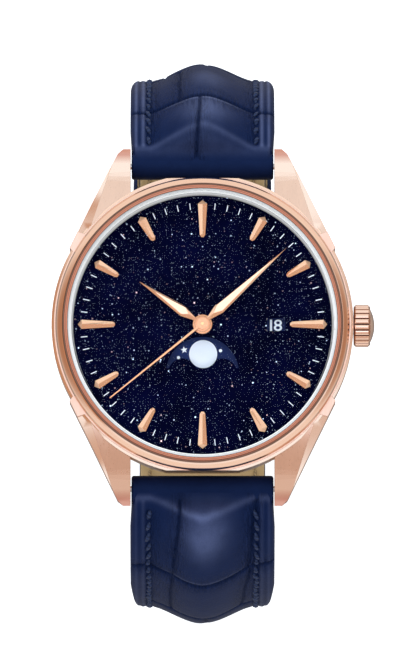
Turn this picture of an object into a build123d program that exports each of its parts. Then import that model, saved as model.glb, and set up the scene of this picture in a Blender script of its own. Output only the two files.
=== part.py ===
# A moon phase watch: rose gold case, sparkling night-blue dial, navy strap with a padded back.
# Millimetres. The origin is the centre of the case back's outer face. +Z points out through the
# dial, +Y to twelve o'clock, +X to three o'clock, where the crown is.
from build123d import *
import os
from math import cos, hypot, radians, sin

os.makedirs("parts", exist_ok=True)

# Clearances and overruns
running_gap = 0.05
sliding_gap = 0.1
seat_gap = 0.02
layer_gap = 0.1
overrun = 1.0

# Case
case_radius = 20.95
case_wall = 2.25
case_bottom = 1.8
case_top = 8.2
flank_bevel = 1.1
shoulder = 0.35
lug_gap = 20.0
lug_length = 3.95
lug_tip_width = 1.8
lug_tip_drop = 0.75
lug_root_step = 0.35
lug_root_angle = 30
lug_inner_angle = 27
lug_tip_top = 3.0
lug_tip_low = 0.4
lug_belly_inset = 0.15
lug_belly_low = 0.9
lug_foot_inset = 3.6
lug_bevel_inset = 0.8
lug_bevel_angle = 38
lug_slope_angle = 38
bar_inset = 2.4
bar_height = 2.4

# Bezel, crystal and the ring under it
bezel_inset = 0.55
bezel_wall_top = 9.0
bezel_crest_top = 10.5
bezel_bulge_height = 0.16
groove_width = 0.22
groove_depth = 0.25
lip_width = 0.46
lip_top = 10.75
crystal_thickness = 1.35
crystal_bevel = 0.35
crystal_low = 9.5
gasket_width = 0.27

# Dial
dial_top = 7.6
dial_thickness = 0.4
dial_gap = 0.1
flange_width = 0.75
date_reach = 10.2
date_length = 2.6
date_width = 1.83
moon_axis_reach = 6.75
moon_arch_radius = 5.06
moon_sill = 0.65
moon_hump_radius = 2.0
moon_hump_reach = 2.75

# Hour markers
marker_margin = 0.65
marker_length = 3.8
marker_long_length = 5.15
marker_width = 1.27
marker_tail_width = 0.75
marker_shoulder = 0.5
marker_height = 0.42
marker_wall = 0.14

# Hands, at eight minutes past ten
hour_hand_reach = 10.6
hour_hand_turn = -304
minute_hand_reach = 15.8
minute_hand_turn = -47.8
seconds_hand_reach = 16.5
seconds_hand_turn = -231.1
hand_width = 1.5
hand_belly_reach = 3.15
hand_neck = 0.36
hand_ridge = 0.3
hand_edge = 0.1
hour_hub_radius = 1.37
minute_hub_radius = 1.1
seconds_hub_radius = 0.8
seconds_hand_width = 0.33
seconds_hand_thickness = 0.14
hub_thickness = 0.2
hour_hand_low = 7.95
minute_hand_low = 8.5
seconds_hand_low = 9.05

# Movement
movement_radius = 12.8
plate_low = 4.9
plate_top = 6.1
rim_width = 0.5
holder_low = 2.55
bridge_low = 2.6
bridge_top = 3.3
pillar_radius = 1.0
pillar_inset = 1.4
train_pillar_angles = (28, 128)
barrel_pillar_angles = (-22, -101)
bridge_split = -2.3
bridge_split_gap = 0.12
balance_opening = 3.95
cock_width = 2.7
cock_foot_inset = 2.9
cock_foot_y = 0.9
staff_radius = 0.15
pivot_hole = 0.2
jewel_radius = 0.55
jewel_height = 0.12
screw_radius = 0.75
screw_height = 0.12
screw_slot = 0.22

# Nested tubes at the middle of the movement
seconds_arbor = 0.2
centre_bore = 0.26
centre_tube = 0.42
cannon_bore = 0.46
cannon_tube = 0.64
hour_bore = 0.7
hour_tube = 1.02
dial_hole = 1.16

# Gear train: module, teeth and level of each pair
tooth_addendum_share = 0.8
tooth_dedendum_share = 1.15
tooth_root_share = 0.25
gear_thickness = 0.15
pinion_thickness = 0.3
barrel_teeth = 60
centre_pinion_teeth = 10
barrel_module = 0.17
barrel_angle = -60
barrel_low = 3.85
barrel_thickness = 0.55
centre_teeth = 48
third_pinion_teeth = 6
centre_distance = 3.9
third_angle = 100
centre_wheel_low = 4.52
third_teeth = 45
fourth_pinion_teeth = 6
third_wheel_low = 3.62
fourth_teeth = 60
escape_pinion_teeth = 6
fourth_module = 0.118
fourth_wheel_low = 3.4
escape_angle = 205
escape_teeth = 15
escape_radius = 1.85
escape_tooth_depth = 0.42
escape_low = 4.71
pallet_distance = 2.45
balance_distance = 5.4
balance_line_angle = 222
pallet_width = 0.28
pallet_arm_spread = 62
pallet_stone = 0.24
fork_clearance = 0.2
balance_radius = 3.3
balance_rim = 0.35
balance_low = 4.2
balance_thickness = 0.3
roller_radius = 0.42
collet_radius = 0.38
spring_wire = 0.08
spring_ribbon_height = 0.12
spring_steps = 12
spring_pitch = 0.5
spring_turns = 4
spring_level = 3.75
stud_radius = 0.16

# Motion works under the dial
motion_module = 0.16
cannon_teeth = 10
minute_wheel_teeth = 30
minute_pinion_teeth = 8
hour_wheel_teeth = 32
minute_wheel_angle = 35
minute_wheel_low = 6.16
minute_pinion_top = 6.76
hour_wheel_low = 6.5
post_radius = 0.28

# Calendar discs
date_teeth = 31
date_band_tooth_width = 3.2
date_band_width = 2.85
date_ring_inset = 0.9
date_ring_low = 6.62
date_ring_thickness = 0.18
date_shelf_radius = 8.55
moon_teeth = 59
moon_tooth_root = 5.15
moon_tooth_tip = 5.38
moon_disc_low = 6.88
moon_disc_thickness = 0.16
moon_post_radius = 0.5

# Winding weight
rotor_inset = 0.5
rotor_low = 1.5
rotor_thickness = 0.35
rotor_rim_width = 1.6
rotor_rim_thickness = 0.95
rotor_hub_radius = 2.2
rotor_axle = 1.2
rotor_window_share = 0.74

# Case back
back_flange = 0.2
back_bevel = 1.1
back_spigot = 0.7
back_view_room = 0.3
back_crystal_seat = 0.8
back_crystal_thickness = 1.1
back_notches = 6
notch_radius = 1.1
notch_depth = 0.8

# Crown and stem
crown_radius = 2.93
crown_cap_radius = 2.35
crown_gap = 0.03
crown_grip_length = 2.3
crown_dome_length = 0.6
crown_chamfer = 0.3
crown_flutes = 22
flute_depth = 0.3
flute_shoulder_depth = 0.06
flute_ridge_share = 0.14
flute_edge_share = 0.36
crown_tube_radius = 1.15
crown_tube_bore = 0.62
crown_tube_length = 3.2
stem_radius = 0.5
stem_square = 0.6
stem_height = 5.1
stem_square_end = 11.4
stem_inner_end = 7.6
clutch_radius = 0.7
clutch_start = 8.6
clutch_length = 1.8

# Spring bars
bar_radius = 0.75
bar_tip_radius = 0.4
bar_tip_length = 0.85
bar_shoulder_gap = 0.15

# Strap
strap_end_width = 18.0
strap_lean_angle = 12
strap_taper_start_length = 20.0
strap_taper_end_length = 45.0
strap_fold_radius = 1.95
strap_fold_length = 2.9
fold_block_length = 2.4
strap_lining = 1.2
strap_back = 1.9
lining_margin = 0.35
strap_stations = 18
pad_swell_share = 0.09
pad_full_share = 0.3
upper_pad_end_share = 0.6
lower_pad_end_share = 0.8
fold_margin = 0.1
shoulder_bend_radius = 15.0
shoulder_turn_angle = 60
side_bend_radius = 52.0
side_turn_angle = 24
upper_tuck_angle = 12
upper_run_length = 14.0
upper_corner_radius = 16.0
lower_tuck_angle = 0
lower_run_length = 18.0
lower_corner_radius = 17.0
lower_tail_length = 19.4
pad_edge_height = 1.0
pad_crown_height = 2.2
tail_edge_height = 0.35
tail_crown_height = 0.45
tail_tip_length = 9.0
tail_bulge_length = 2.25
tail_bulge_width = 9.5
tang_hole_radius = 0.85
tang_holes = 6
tang_hole_pitch = 6.5
tang_hole_start = 22.0

# Keepers
keeper_width = 5.0
keeper_wall = 0.8
keeper_room = 2.8
keeper_bend_gap = 0.5
fixed_keeper_inset = 8.0
free_keeper_inset = 27.5

# Buckle
buckle_fold_radius = 1.5
buckle_bar_radius = 0.6
buckle_arm = 1.7
buckle_reach = 12.6
buckle_far_bar = 2.6
buckle_thickness = 2.2
buckle_tail = 1.3
tang_width = 2.0
tang_thickness = 0.85
tang_slot_width = 2.6
tang_overhang = 0.5
tang_ring = 1.15

# Sizes that follow from those above
case_bore = case_radius - case_wall
lug_reach = case_radius + lug_length
bar_reach = lug_reach - bar_inset
between_lugs_reach = bar_reach - strap_fold_radius - 2 * sliding_gap
bezel_radius = case_radius - bezel_inset
bezel_crest_radius = case_bore + lip_width + groove_width
dial_view_radius = case_bore - flange_width
marker_outer = dial_view_radius - marker_margin
pillar_reach = movement_radius - pillar_inset
date_ring_radius = movement_radius - date_ring_inset
date_tooth_root = date_ring_radius - date_band_width
date_tooth_tip = date_ring_radius - date_band_tooth_width
cock_foot_x = cock_foot_inset - movement_radius
rotor_radius = movement_radius - rotor_inset
back_radius = case_bore + back_flange
back_view_radius = movement_radius + back_view_room
back_crystal_radius = back_view_radius + back_crystal_seat
crown_inner_end = case_radius + crown_gap
crown_flute_end = crown_inner_end + crown_grip_length
crown_outer_end = crown_flute_end + crown_dome_length
crown_tube_end = case_bore + crown_tube_length
strap_lug_width = lug_gap - 2 * sliding_gap
tail_height = tail_edge_height + tail_crown_height


def save(piece, name):
    """Labels a finished piece and writes it under its own name."""
    piece.part.label = name
    export_step(piece.part, f"parts/{name}.step")


def polar(distance, angle):
    """The point at a distance from the middle of the dial, angles from three o'clock."""
    return (distance * cos(radians(angle)), distance * sin(radians(angle)))


def gear_points(teeth, module, toward, on_tooth):
    """Corners of a wheel with pointed teeth and flat gaps: one tooth, or one gap, faces its mate."""
    pitch = 360 / teeth
    root = module * (teeth / 2 - tooth_dedendum_share)
    tip = module * (teeth / 2 + tooth_addendum_share)
    start = toward if on_tooth else toward + pitch / 2
    points = []
    for tooth in range(teeth):
        middle = start + tooth * pitch
        points.append(polar(root, middle - tooth_root_share * pitch))
        points.append(polar(tip, middle))
        points.append(polar(root, middle + tooth_root_share * pitch))
    return points


def pointed_teeth(teeth, root, tip):
    """Corners of a disc with plain pointed teeth."""
    pitch = 360 / teeth
    points = []
    for tooth in range(teeth):
        points.append(polar(tip, tooth * pitch))
        points.append(polar(root, (tooth + 0.5) * pitch))
    return points


def solid_disc(low, high, radius, place=(0, 0)):
    """Adds a round disc between two heights to the part being made."""
    with BuildSketch(Plane.XY.offset(low)) as outline:
        with Locations(place):
            Circle(radius)
    extrude(outline.sketch, amount=high - low)


def round_hole(low, high, radius, places):
    """Cuts round holes between two heights from the part being made."""
    with BuildSketch(Plane.XY.offset(low)) as outline:
        with Locations(*places):
            Circle(radius)
    extrude(outline.sketch, amount=high - low, mode=Mode.SUBTRACT)


def turned(points):
    """Adds the solid that a profile of radius and height sweeps about the dial's axis."""
    with BuildSketch(Plane.XZ) as profile:
        with BuildLine():
            Polyline(*points, close=True)
        make_face()
    revolve(profile.sketch, axis=Axis.Z)


def cut_sheet(points, low, thickness, mode=Mode.ADD):
    """Adds or cuts a flat piece with the given corners, such as a toothed wheel."""
    with BuildSketch(Plane.XY.offset(low)) as outline:
        with BuildLine():
            Polyline(*points, close=True)
        make_face()
    extrude(outline.sketch, amount=thickness, mode=mode)


def ridged_bar(corners, facing, low_end, reach, width, wall, height):
    """A flat outline raised to a roof whose ridge runs along the facing plane's own y axis."""
    with BuildPart() as bar:
        with BuildSketch(facing):
            with BuildLine():
                Polyline(*corners, close=True)
            make_face()
        extrude(amount=height)
        start = facing.from_local_coords((0, low_end, 0))
        with BuildSketch(Plane(origin=start, x_dir=facing.x_dir, z_dir=facing.y_dir)):
            with BuildLine():
                Polyline(
                    (-width / 2, 0), (width / 2, 0), (width / 2, -wall), (0, -height), (-width / 2, -wall),
                    close=True,
                )
            make_face()
        extrude(amount=reach - low_end, mode=Mode.INTERSECT)
    return bar.part


def wheel_at(points, place):
    """The same corners about another centre."""
    return [(x + place[0], y + place[1]) for x, y in points]


def bar_corners(start, end, width):
    """Corners of a straight bar of a width between two points."""
    run = hypot(end[0] - start[0], end[1] - start[1])
    across_x = -(end[1] - start[1]) / run * width / 2
    across_y = (end[0] - start[0]) / run * width / 2
    return [
        (start[0] + across_x, start[1] + across_y), (end[0] + across_x, end[1] + across_y),
        (end[0] - across_x, end[1] - across_y), (start[0] - across_x, start[1] - across_y),
    ]


# Places of the train's arbors
third_place = polar(centre_distance, third_angle)
centre_module = 2 * centre_distance / (centre_teeth + third_pinion_teeth)
third_module = 2 * centre_distance / (third_teeth + fourth_pinion_teeth)
barrel_distance = barrel_module * (barrel_teeth + centre_pinion_teeth) / 2
barrel_place = polar(barrel_distance, barrel_angle)
escape_distance = fourth_module * (fourth_teeth + escape_pinion_teeth) / 2
escape_place = polar(escape_distance, escape_angle)
line_x, line_y = polar(1, balance_line_angle)
pallet_place = (escape_place[0] + pallet_distance * line_x, escape_place[1] + pallet_distance * line_y)
balance_place = (escape_place[0] + balance_distance * line_x, escape_place[1] + balance_distance * line_y)
moon_place = (0, -moon_axis_reach)
cock_foot = (cock_foot_x, cock_foot_y)
minute_wheel_distance = motion_module * (cannon_teeth + minute_wheel_teeth) / 2
minute_wheel_place = polar(minute_wheel_distance, minute_wheel_angle)
train_pillars = [polar(pillar_reach, angle) for angle in train_pillar_angles]
barrel_pillars = [polar(pillar_reach, angle) for angle in barrel_pillar_angles]
dial_low = dial_top - dial_thickness
spring_inner = collet_radius + spring_wire
spring_outer = spring_inner + (spring_turns - 1) * spring_pitch
stud_place = (balance_place[0] + spring_outer, balance_place[1])

# Case middle: four lugs and the band between them
lug_tip_x = lug_gap / 2 + lug_tip_width
lug_root_x, lug_root_y = polar(case_radius + lug_root_step, lug_root_angle)
lug_inner_x, lug_inner_y = polar(case_bore, lug_inner_angle)
ridge_x, ridge_y = polar(case_radius - lug_bevel_inset, lug_bevel_angle)
ridge_start = Vector(ridge_x, ridge_y, case_top)
ridge_end = Vector(lug_tip_x, lug_reach, lug_tip_top)
ridge_run = Vector(ridge_end.X - ridge_start.X, ridge_end.Y - ridge_start.Y, 0)
ridge_unit = ridge_run.normalized()
ridge_across = Vector(ridge_unit.Y, -ridge_unit.X, 0)
with BuildPart() as case_middle:
    with BuildSketch(Plane.XY):
        with BuildLine():
            Polyline(
                (lug_gap / 2, lug_inner_y), (lug_gap / 2, lug_reach),
                (lug_tip_x - lug_tip_drop, lug_reach), (lug_tip_x, lug_reach - lug_tip_drop),
                (lug_root_x, lug_root_y), (lug_inner_x, lug_inner_y), close=True,
            )
        make_face()
    extrude(amount=case_top + overrun)
    with BuildSketch(Plane.YZ):
        with BuildLine():
            Line((0, case_bottom), (0, case_top))
            Line((0, case_top), (ridge_y, case_top))
            TangentArc((ridge_y, case_top), (lug_reach, lug_tip_top), tangent=(1, 0))
            Line((lug_reach, lug_tip_top), (lug_reach - lug_tip_drop, lug_tip_low))
            ThreePointArc(
                (lug_reach - lug_tip_drop, lug_tip_low), (case_radius - lug_belly_inset, lug_belly_low),
                (case_radius - lug_foot_inset, case_bottom),
            )
            Line((case_radius - lug_foot_inset, case_bottom), (0, case_bottom))
        make_face()
    extrude(amount=case_radius + overrun, mode=Mode.INTERSECT)
    with BuildSketch(Plane(origin=(ridge_x, ridge_y, 0), x_dir=ridge_unit, z_dir=ridge_across)):
        with BuildLine():
            far = ridge_run.length + overrun
            high = case_top + 2 * lug_gap
            Line((0, high), (0, case_top))
            TangentArc((0, case_top), (ridge_run.length, lug_tip_top), tangent=(1, 0))
            Line((ridge_run.length, lug_tip_top), (far, lug_tip_top - overrun))
            Line((far, lug_tip_top - overrun), (far, high))
            Line((far, high), (0, high))
        make_face()
    slant = ridge_across * cos(radians(lug_slope_angle)) - Vector(0, 0, sin(radians(lug_slope_angle)))
    extrude(amount=lug_gap, dir=slant, mode=Mode.SUBTRACT)
    mirror(about=Plane.YZ)
    mirror(about=Plane.XZ)
    turned((
        (case_bore, case_bottom), (case_radius - flank_bevel, case_bottom),
        (case_radius, case_bottom + flank_bevel), (case_radius, case_top - shoulder),
        (case_radius - shoulder, case_top), (case_bore, case_top),
    ))
    round_hole(case_bottom, case_top, case_bore, [(0, 0)])
    with BuildSketch(Plane.XY.offset(case_bottom - overrun)):
        with Locations((0, between_lugs_reach + lug_gap / 2), (0, -between_lugs_reach - lug_gap / 2)):
            Rectangle(lug_gap, lug_gap)
    extrude(amount=case_top, mode=Mode.SUBTRACT)
    with BuildSketch(Plane.YZ):
        with Locations((bar_reach, bar_height), (-bar_reach, bar_height)):
            Circle(bar_tip_radius + sliding_gap / 2)
    extrude(amount=lug_gap / 2 + bar_tip_length, both=True, mode=Mode.SUBTRACT)
    with BuildSketch(Plane.YZ):
        with Locations((0, stem_height)):
            Circle(crown_tube_radius)
    extrude(amount=case_radius + overrun, mode=Mode.SUBTRACT)
save(case_middle, "case_middle")

# Bezel: a polished bank, a fine groove and a raised lip round the crystal
with BuildPart() as bezel:
    lip_outer = case_bore + lip_width
    with BuildSketch(Plane.XZ):
        with BuildLine():
            middle_r = (bezel_radius + bezel_crest_radius) / 2 + bezel_bulge_height
            middle_z = (bezel_wall_top + bezel_crest_top) / 2 + bezel_bulge_height
            Polyline(
                (case_bore, case_top), (bezel_radius, case_top), (bezel_radius, bezel_wall_top),
                (middle_r, middle_z), (bezel_crest_radius, bezel_crest_top),
                (bezel_crest_radius, bezel_crest_top - groove_depth),
                (lip_outer, bezel_crest_top - groove_depth), (lip_outer, lip_top), (case_bore, lip_top),
                close=True,
            )
        make_face()
    revolve(axis=Axis.Z)
save(bezel, "bezel")

# Crystal and its seal
crystal_radius = case_bore - gasket_width
crystal_top = crystal_low + crystal_thickness
with BuildPart() as crystal:
    turned((
        (0, crystal_low), (crystal_radius, crystal_low), (crystal_radius, crystal_top - crystal_bevel),
        (crystal_radius - crystal_bevel, crystal_top), (0, crystal_top),
    ))
save(crystal, "crystal")

with BuildPart() as crystal_gasket:
    turned((
        (crystal_radius, crystal_low), (case_bore, crystal_low), (case_bore, lip_top - crystal_bevel),
        (crystal_radius, lip_top - crystal_bevel),
    ))
save(crystal_gasket, "crystal_gasket")

# Sloped ring between the dial and the crystal
with BuildPart() as dial_flange:
    turned((
        (dial_view_radius, dial_top), (case_bore - seat_gap, dial_top), (case_bore - seat_gap, crystal_low),
        (crystal_radius - gasket_width, crystal_low),
    ))
save(dial_flange, "dial_flange")

# Dial, with the date window and the moon's aperture cut through
with BuildPart() as dial:
    solid_disc(dial_low, dial_top, case_bore - dial_gap)
    round_hole(dial_low, dial_top, dial_hole, [(0, 0)])
    with BuildSketch(Plane.XY.offset(dial_low)):
        with Locations((date_reach, 0)):
            Rectangle(date_length, date_width)
    extrude(amount=dial_thickness, mode=Mode.SUBTRACT)
    with BuildSketch(Plane.XY.offset(dial_low)):
        with Locations(moon_place):
            Circle(moon_arch_radius)
        with Locations((0, -moon_axis_reach - moon_arch_radius + moon_sill)):
            Rectangle(2 * moon_arch_radius, 2 * moon_arch_radius, mode=Mode.SUBTRACT)
        with Locations((moon_hump_reach, -moon_axis_reach), (-moon_hump_reach, -moon_axis_reach)):
            Circle(moon_hump_radius, mode=Mode.SUBTRACT)
    extrude(amount=dial_thickness, mode=Mode.SUBTRACT)
save(dial, "dial")

# Twelve hour markers: a roof with its ridge along the radius, cut to a dart
darts = []
for hour in range(12):
    inner = marker_outer - (marker_long_length if hour % 3 == 0 else marker_length)
    dart_corners = (
        (-marker_tail_width / 2, inner), (marker_tail_width / 2, inner),
        (marker_width / 2, marker_outer - marker_shoulder), (0, marker_outer),
        (-marker_width / 2, marker_outer - marker_shoulder),
    )
    facing = Plane.XY.offset(dial_top).rotated((0, 0, -30 * hour))
    darts.append(ridged_bar(
        dart_corners, facing, inner, marker_outer, marker_width, marker_wall, marker_height
    ))
with BuildPart() as hour_markers:
    add(darts)
save(hour_markers, "hour_markers")

# Hands
def leaf_corners(reach):
    """Outline of a hand that is narrow at its hub, widest at its belly and pointed at its tip."""
    return (
        (-hand_neck / 2, 0), (hand_neck / 2, 0), (hand_width / 2, hand_belly_reach), (0, reach),
        (-hand_width / 2, hand_belly_reach),
    )


hour_facing = Plane.XY.offset(hour_hand_low).rotated((0, 0, hour_hand_turn))
hour_leaf = ridged_bar(
    leaf_corners(hour_hand_reach), hour_facing, 0, hour_hand_reach, hand_width, hand_edge, hand_ridge
)
with BuildPart() as hour_hand:
    add(hour_leaf)
    solid_disc(hour_hand_low, hour_hand_low + hub_thickness, hour_hub_radius)
    round_hole(hour_hand_low, hour_hand_low + hand_ridge, hour_tube, [(0, 0)])
save(hour_hand, "hour_hand")

minute_facing = Plane.XY.offset(minute_hand_low).rotated((0, 0, minute_hand_turn))
minute_leaf = ridged_bar(
    leaf_corners(minute_hand_reach), minute_facing, 0, minute_hand_reach, hand_width, hand_edge, hand_ridge
)
with BuildPart() as minute_hand:
    add(minute_leaf)
    solid_disc(minute_hand_low, minute_hand_low + hub_thickness, minute_hub_radius)
    round_hole(minute_hand_low, minute_hand_low + hand_ridge, cannon_tube, [(0, 0)])
save(minute_hand, "minute_hand")

with BuildPart() as seconds_hand:
    with BuildSketch(Plane.XY.offset(seconds_hand_low).rotated((0, 0, seconds_hand_turn))):
        with BuildLine():
            Polyline(
                (-seconds_hand_width / 2, 0), (seconds_hand_width / 2, 0),
                (seconds_hand_width / 4, seconds_hand_reach), (-seconds_hand_width / 4, seconds_hand_reach),
                close=True,
            )
        make_face()
    extrude(amount=seconds_hand_thickness)
    solid_disc(seconds_hand_low, seconds_hand_low + hub_thickness, seconds_hub_radius)
    round_hole(seconds_hand_low, seconds_hand_low + hub_thickness, seconds_arbor, [(0, 0)])
save(seconds_hand, "seconds_hand")

# Motion works: cannon pinion, minute wheel and hour wheel, ten to thirty and eight to thirty-two
hour_hand_top = hour_hand_low + hub_thickness
minute_hand_top = minute_hand_low + hub_thickness
with BuildPart() as cannon_pinion:
    solid_disc(minute_wheel_low, minute_hand_top, cannon_tube)
    cut_sheet(
        gear_points(cannon_teeth, motion_module, minute_wheel_angle, True), minute_wheel_low,
        hour_wheel_low - minute_wheel_low - layer_gap,
    )
    round_hole(minute_wheel_low, minute_hand_top, cannon_bore, [(0, 0)])
save(cannon_pinion, "cannon_pinion")

with BuildPart() as minute_wheel:
    minute_wheel_teeth_out = gear_points(minute_wheel_teeth, motion_module, minute_wheel_angle + 180, False)
    minute_pinion_teeth_out = gear_points(minute_pinion_teeth, motion_module, minute_wheel_angle + 180, True)
    cut_sheet(wheel_at(minute_wheel_teeth_out, minute_wheel_place), minute_wheel_low, gear_thickness)
    cut_sheet(
        wheel_at(minute_pinion_teeth_out, minute_wheel_place), minute_wheel_low,
        minute_pinion_top - minute_wheel_low,
    )
    round_hole(minute_wheel_low, minute_pinion_top, post_radius + running_gap, [minute_wheel_place])
save(minute_wheel, "minute_wheel")

with BuildPart() as hour_wheel:
    hour_wheel_outline = gear_points(hour_wheel_teeth, motion_module, minute_wheel_angle, False)
    cut_sheet(hour_wheel_outline, hour_wheel_low, gear_thickness)
    solid_disc(hour_wheel_low, hour_hand_top, hour_tube)
    round_hole(hour_wheel_low, hour_hand_top, hour_bore, [(0, 0)])
save(hour_wheel, "hour_wheel")

# Calendar: the date ring with teeth inside, and the moon disc with fifty-nine teeth
with BuildPart() as date_ring:
    solid_disc(date_ring_low, date_ring_low + date_ring_thickness, date_ring_radius)
    cut_sheet(
        pointed_teeth(date_teeth, date_tooth_root, date_tooth_tip), date_ring_low, date_ring_thickness,
        mode=Mode.SUBTRACT,
    )
save(date_ring, "date_ring")

with BuildPart() as moon_disc:
    cut_sheet(
        wheel_at(pointed_teeth(moon_teeth, moon_tooth_root, moon_tooth_tip), moon_place), moon_disc_low,
        moon_disc_thickness,
    )
    round_hole(
        moon_disc_low, moon_disc_low + moon_disc_thickness, moon_post_radius + running_gap, [moon_place]
    )
save(moon_disc, "moon_disc")

# Main plate, with the shelf under the date ring, the rim under the dial and the posts
plate_rim_top = dial_low - running_gap
pivot_places = [third_place, escape_place, pallet_place, balance_place]
with BuildPart() as main_plate:
    solid_disc(plate_low, plate_rim_top, movement_radius)
    round_hole(date_ring_low - seat_gap, plate_rim_top, movement_radius - rim_width, [(0, 0)])
    round_hole(plate_top, date_ring_low, date_shelf_radius, [(0, 0)])
    round_hole(plate_low, plate_top, centre_tube + running_gap, [(0, 0)])
    round_hole(plate_low, plate_low + pinion_thickness, pivot_hole, pivot_places)
    solid_disc(plate_top, minute_pinion_top, post_radius, minute_wheel_place)
    solid_disc(plate_top, moon_disc_low + moon_disc_thickness + running_gap, moon_post_radius, moon_place)
    channel_half = clutch_radius + sliding_gap
    with BuildSketch(Plane.YZ.offset(stem_inner_end - layer_gap)):
        with Locations((0, stem_height + channel_half - case_top)):
            Rectangle(2 * channel_half, 2 * case_top)
    extrude(amount=movement_radius, mode=Mode.SUBTRACT)
save(main_plate, "main_plate")

# Movement holder between the case's bore and the movement
with BuildPart() as movement_holder:
    turned((
        (movement_radius + seat_gap, holder_low), (case_bore - sliding_gap, holder_low),
        (case_bore - sliding_gap, dial_low - seat_gap), (movement_radius + seat_gap, dial_low - seat_gap),
    ))
    with BuildSketch(Plane.YZ):
        with Locations((0, stem_height)):
            Circle(stem_radius + sliding_gap)
    extrude(amount=case_bore, mode=Mode.SUBTRACT)
save(movement_holder, "movement_holder")

# Bridges over the train and the barrel, and the cock over the balance
axle_end = rotor_low - seat_gap
with BuildPart() as train_bridge:
    solid_disc(bridge_low, bridge_top, movement_radius)
    with BuildSketch(Plane.XY.offset(bridge_low)):
        with Locations((0, bridge_split - movement_radius)):
            Rectangle(4 * movement_radius, 2 * movement_radius)
        with Locations(balance_place):
            Circle(balance_opening)
        with Locations((balance_place[0], cock_foot_y + cock_width / 2 + sliding_gap)):
            Rectangle(movement_radius, 2 * movement_radius, align=(Align.MAX, Align.MAX))
    extrude(amount=bridge_top - bridge_low, mode=Mode.SUBTRACT)
    for pillar in train_pillars:
        solid_disc(bridge_top, plate_low, pillar_radius, pillar)
    solid_disc(axle_end, bridge_low, rotor_axle)
    round_hole(
        bridge_low + pinion_thickness, bridge_top, pivot_hole + running_gap,
        [(0, 0), third_place, escape_place],
    )
save(train_bridge, "train_bridge")

with BuildPart() as barrel_bridge:
    solid_disc(bridge_low, bridge_top, movement_radius)
    with BuildSketch(Plane.XY.offset(bridge_low)):
        with Locations((0, bridge_split - bridge_split_gap + movement_radius)):
            Rectangle(4 * movement_radius, 2 * movement_radius)
        with Locations(balance_place):
            Circle(balance_opening)
        with Locations((balance_place[0], cock_foot_y + cock_width / 2 + sliding_gap)):
            Rectangle(movement_radius, 2 * movement_radius, align=(Align.MAX, Align.MAX))
    extrude(amount=bridge_top - bridge_low, mode=Mode.SUBTRACT)
    for pillar in barrel_pillars:
        solid_disc(bridge_top, plate_low, pillar_radius, pillar)
save(barrel_bridge, "barrel_bridge")

with BuildPart() as balance_cock:
    cut_sheet(bar_corners(balance_place, cock_foot, cock_width), bridge_low, bridge_top - bridge_low)
    solid_disc(bridge_low, bridge_top, cock_width / 2, balance_place)
    solid_disc(bridge_low, plate_low, cock_width / 2, cock_foot)
    cut_sheet(bar_corners(balance_place, stud_place, 2 * stud_radius), bridge_low, bridge_top - bridge_low)
    solid_disc(bridge_low, spring_level - spring_wire, stud_radius, stud_place)
    round_hole(bridge_low + pinion_thickness, bridge_top, pivot_hole, [balance_place])
save(balance_cock, "balance_cock")

with BuildPart() as bridge_screws:
    for pillar in train_pillars + barrel_pillars + [cock_foot]:
        solid_disc(bridge_low - screw_height, bridge_low, screw_radius, pillar)
    with BuildSketch(Plane.XY.offset(bridge_low - screw_height)):
        with Locations(*train_pillars, *barrel_pillars, cock_foot):
            Rectangle(2 * screw_radius, screw_slot)
    extrude(amount=screw_height / 2, mode=Mode.SUBTRACT)
save(bridge_screws, "bridge_screws")

with BuildPart() as jewels:
    for place in (third_place, escape_place, balance_place):
        solid_disc(bridge_low - jewel_height, bridge_low, jewel_radius, place)
save(jewels, "jewels")

# Going train: barrel, centre wheel, third wheel, fourth wheel and escape wheel
arbor_low = bridge_low + pinion_thickness + running_gap
arbor_high = plate_low + pinion_thickness - running_gap
with BuildPart() as barrel:
    barrel_outline = gear_points(barrel_teeth, barrel_module, barrel_angle + 180, False)
    cut_sheet(wheel_at(barrel_outline, barrel_place), barrel_low, barrel_thickness)
    round_hole(barrel_low, barrel_low + barrel_thickness, stem_radius + running_gap, [barrel_place])
save(barrel, "barrel")

with BuildPart() as barrel_arbor:
    solid_disc(bridge_top, plate_low, stem_radius, barrel_place)
save(barrel_arbor, "barrel_arbor")

with BuildPart() as centre_wheel:
    cut_sheet(
        gear_points(centre_pinion_teeth, barrel_module, barrel_angle, True), barrel_low + running_gap,
        barrel_thickness - running_gap,
    )
    cut_sheet(gear_points(centre_teeth, centre_module, third_angle, True), centre_wheel_low, gear_thickness)
    solid_disc(barrel_low + running_gap, dial_low, centre_tube)
    round_hole(barrel_low, dial_low, centre_bore, [(0, 0)])
save(centre_wheel, "centre_wheel")

with BuildPart() as third_wheel:
    third_pinion_outline = gear_points(third_pinion_teeth, centre_module, third_angle + 180, False)
    third_outline = gear_points(third_teeth, third_module, third_angle + 180, False)
    cut_sheet(wheel_at(third_pinion_outline, third_place), centre_wheel_low - running_gap, pinion_thickness)
    cut_sheet(wheel_at(third_outline, third_place), third_wheel_low, gear_thickness)
    solid_disc(arbor_low, arbor_high, staff_radius, third_place)
save(third_wheel, "third_wheel")

with BuildPart() as fourth_wheel:
    cut_sheet(gear_points(fourth_teeth, fourth_module, escape_angle, True), fourth_wheel_low, gear_thickness)
    cut_sheet(
        gear_points(fourth_pinion_teeth, third_module, third_angle, True), fourth_wheel_low,
        barrel_low - fourth_wheel_low - running_gap / 2,
    )
    solid_disc(arbor_low, seconds_hand_low + hub_thickness, seconds_arbor)
save(fourth_wheel, "fourth_wheel")

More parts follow.
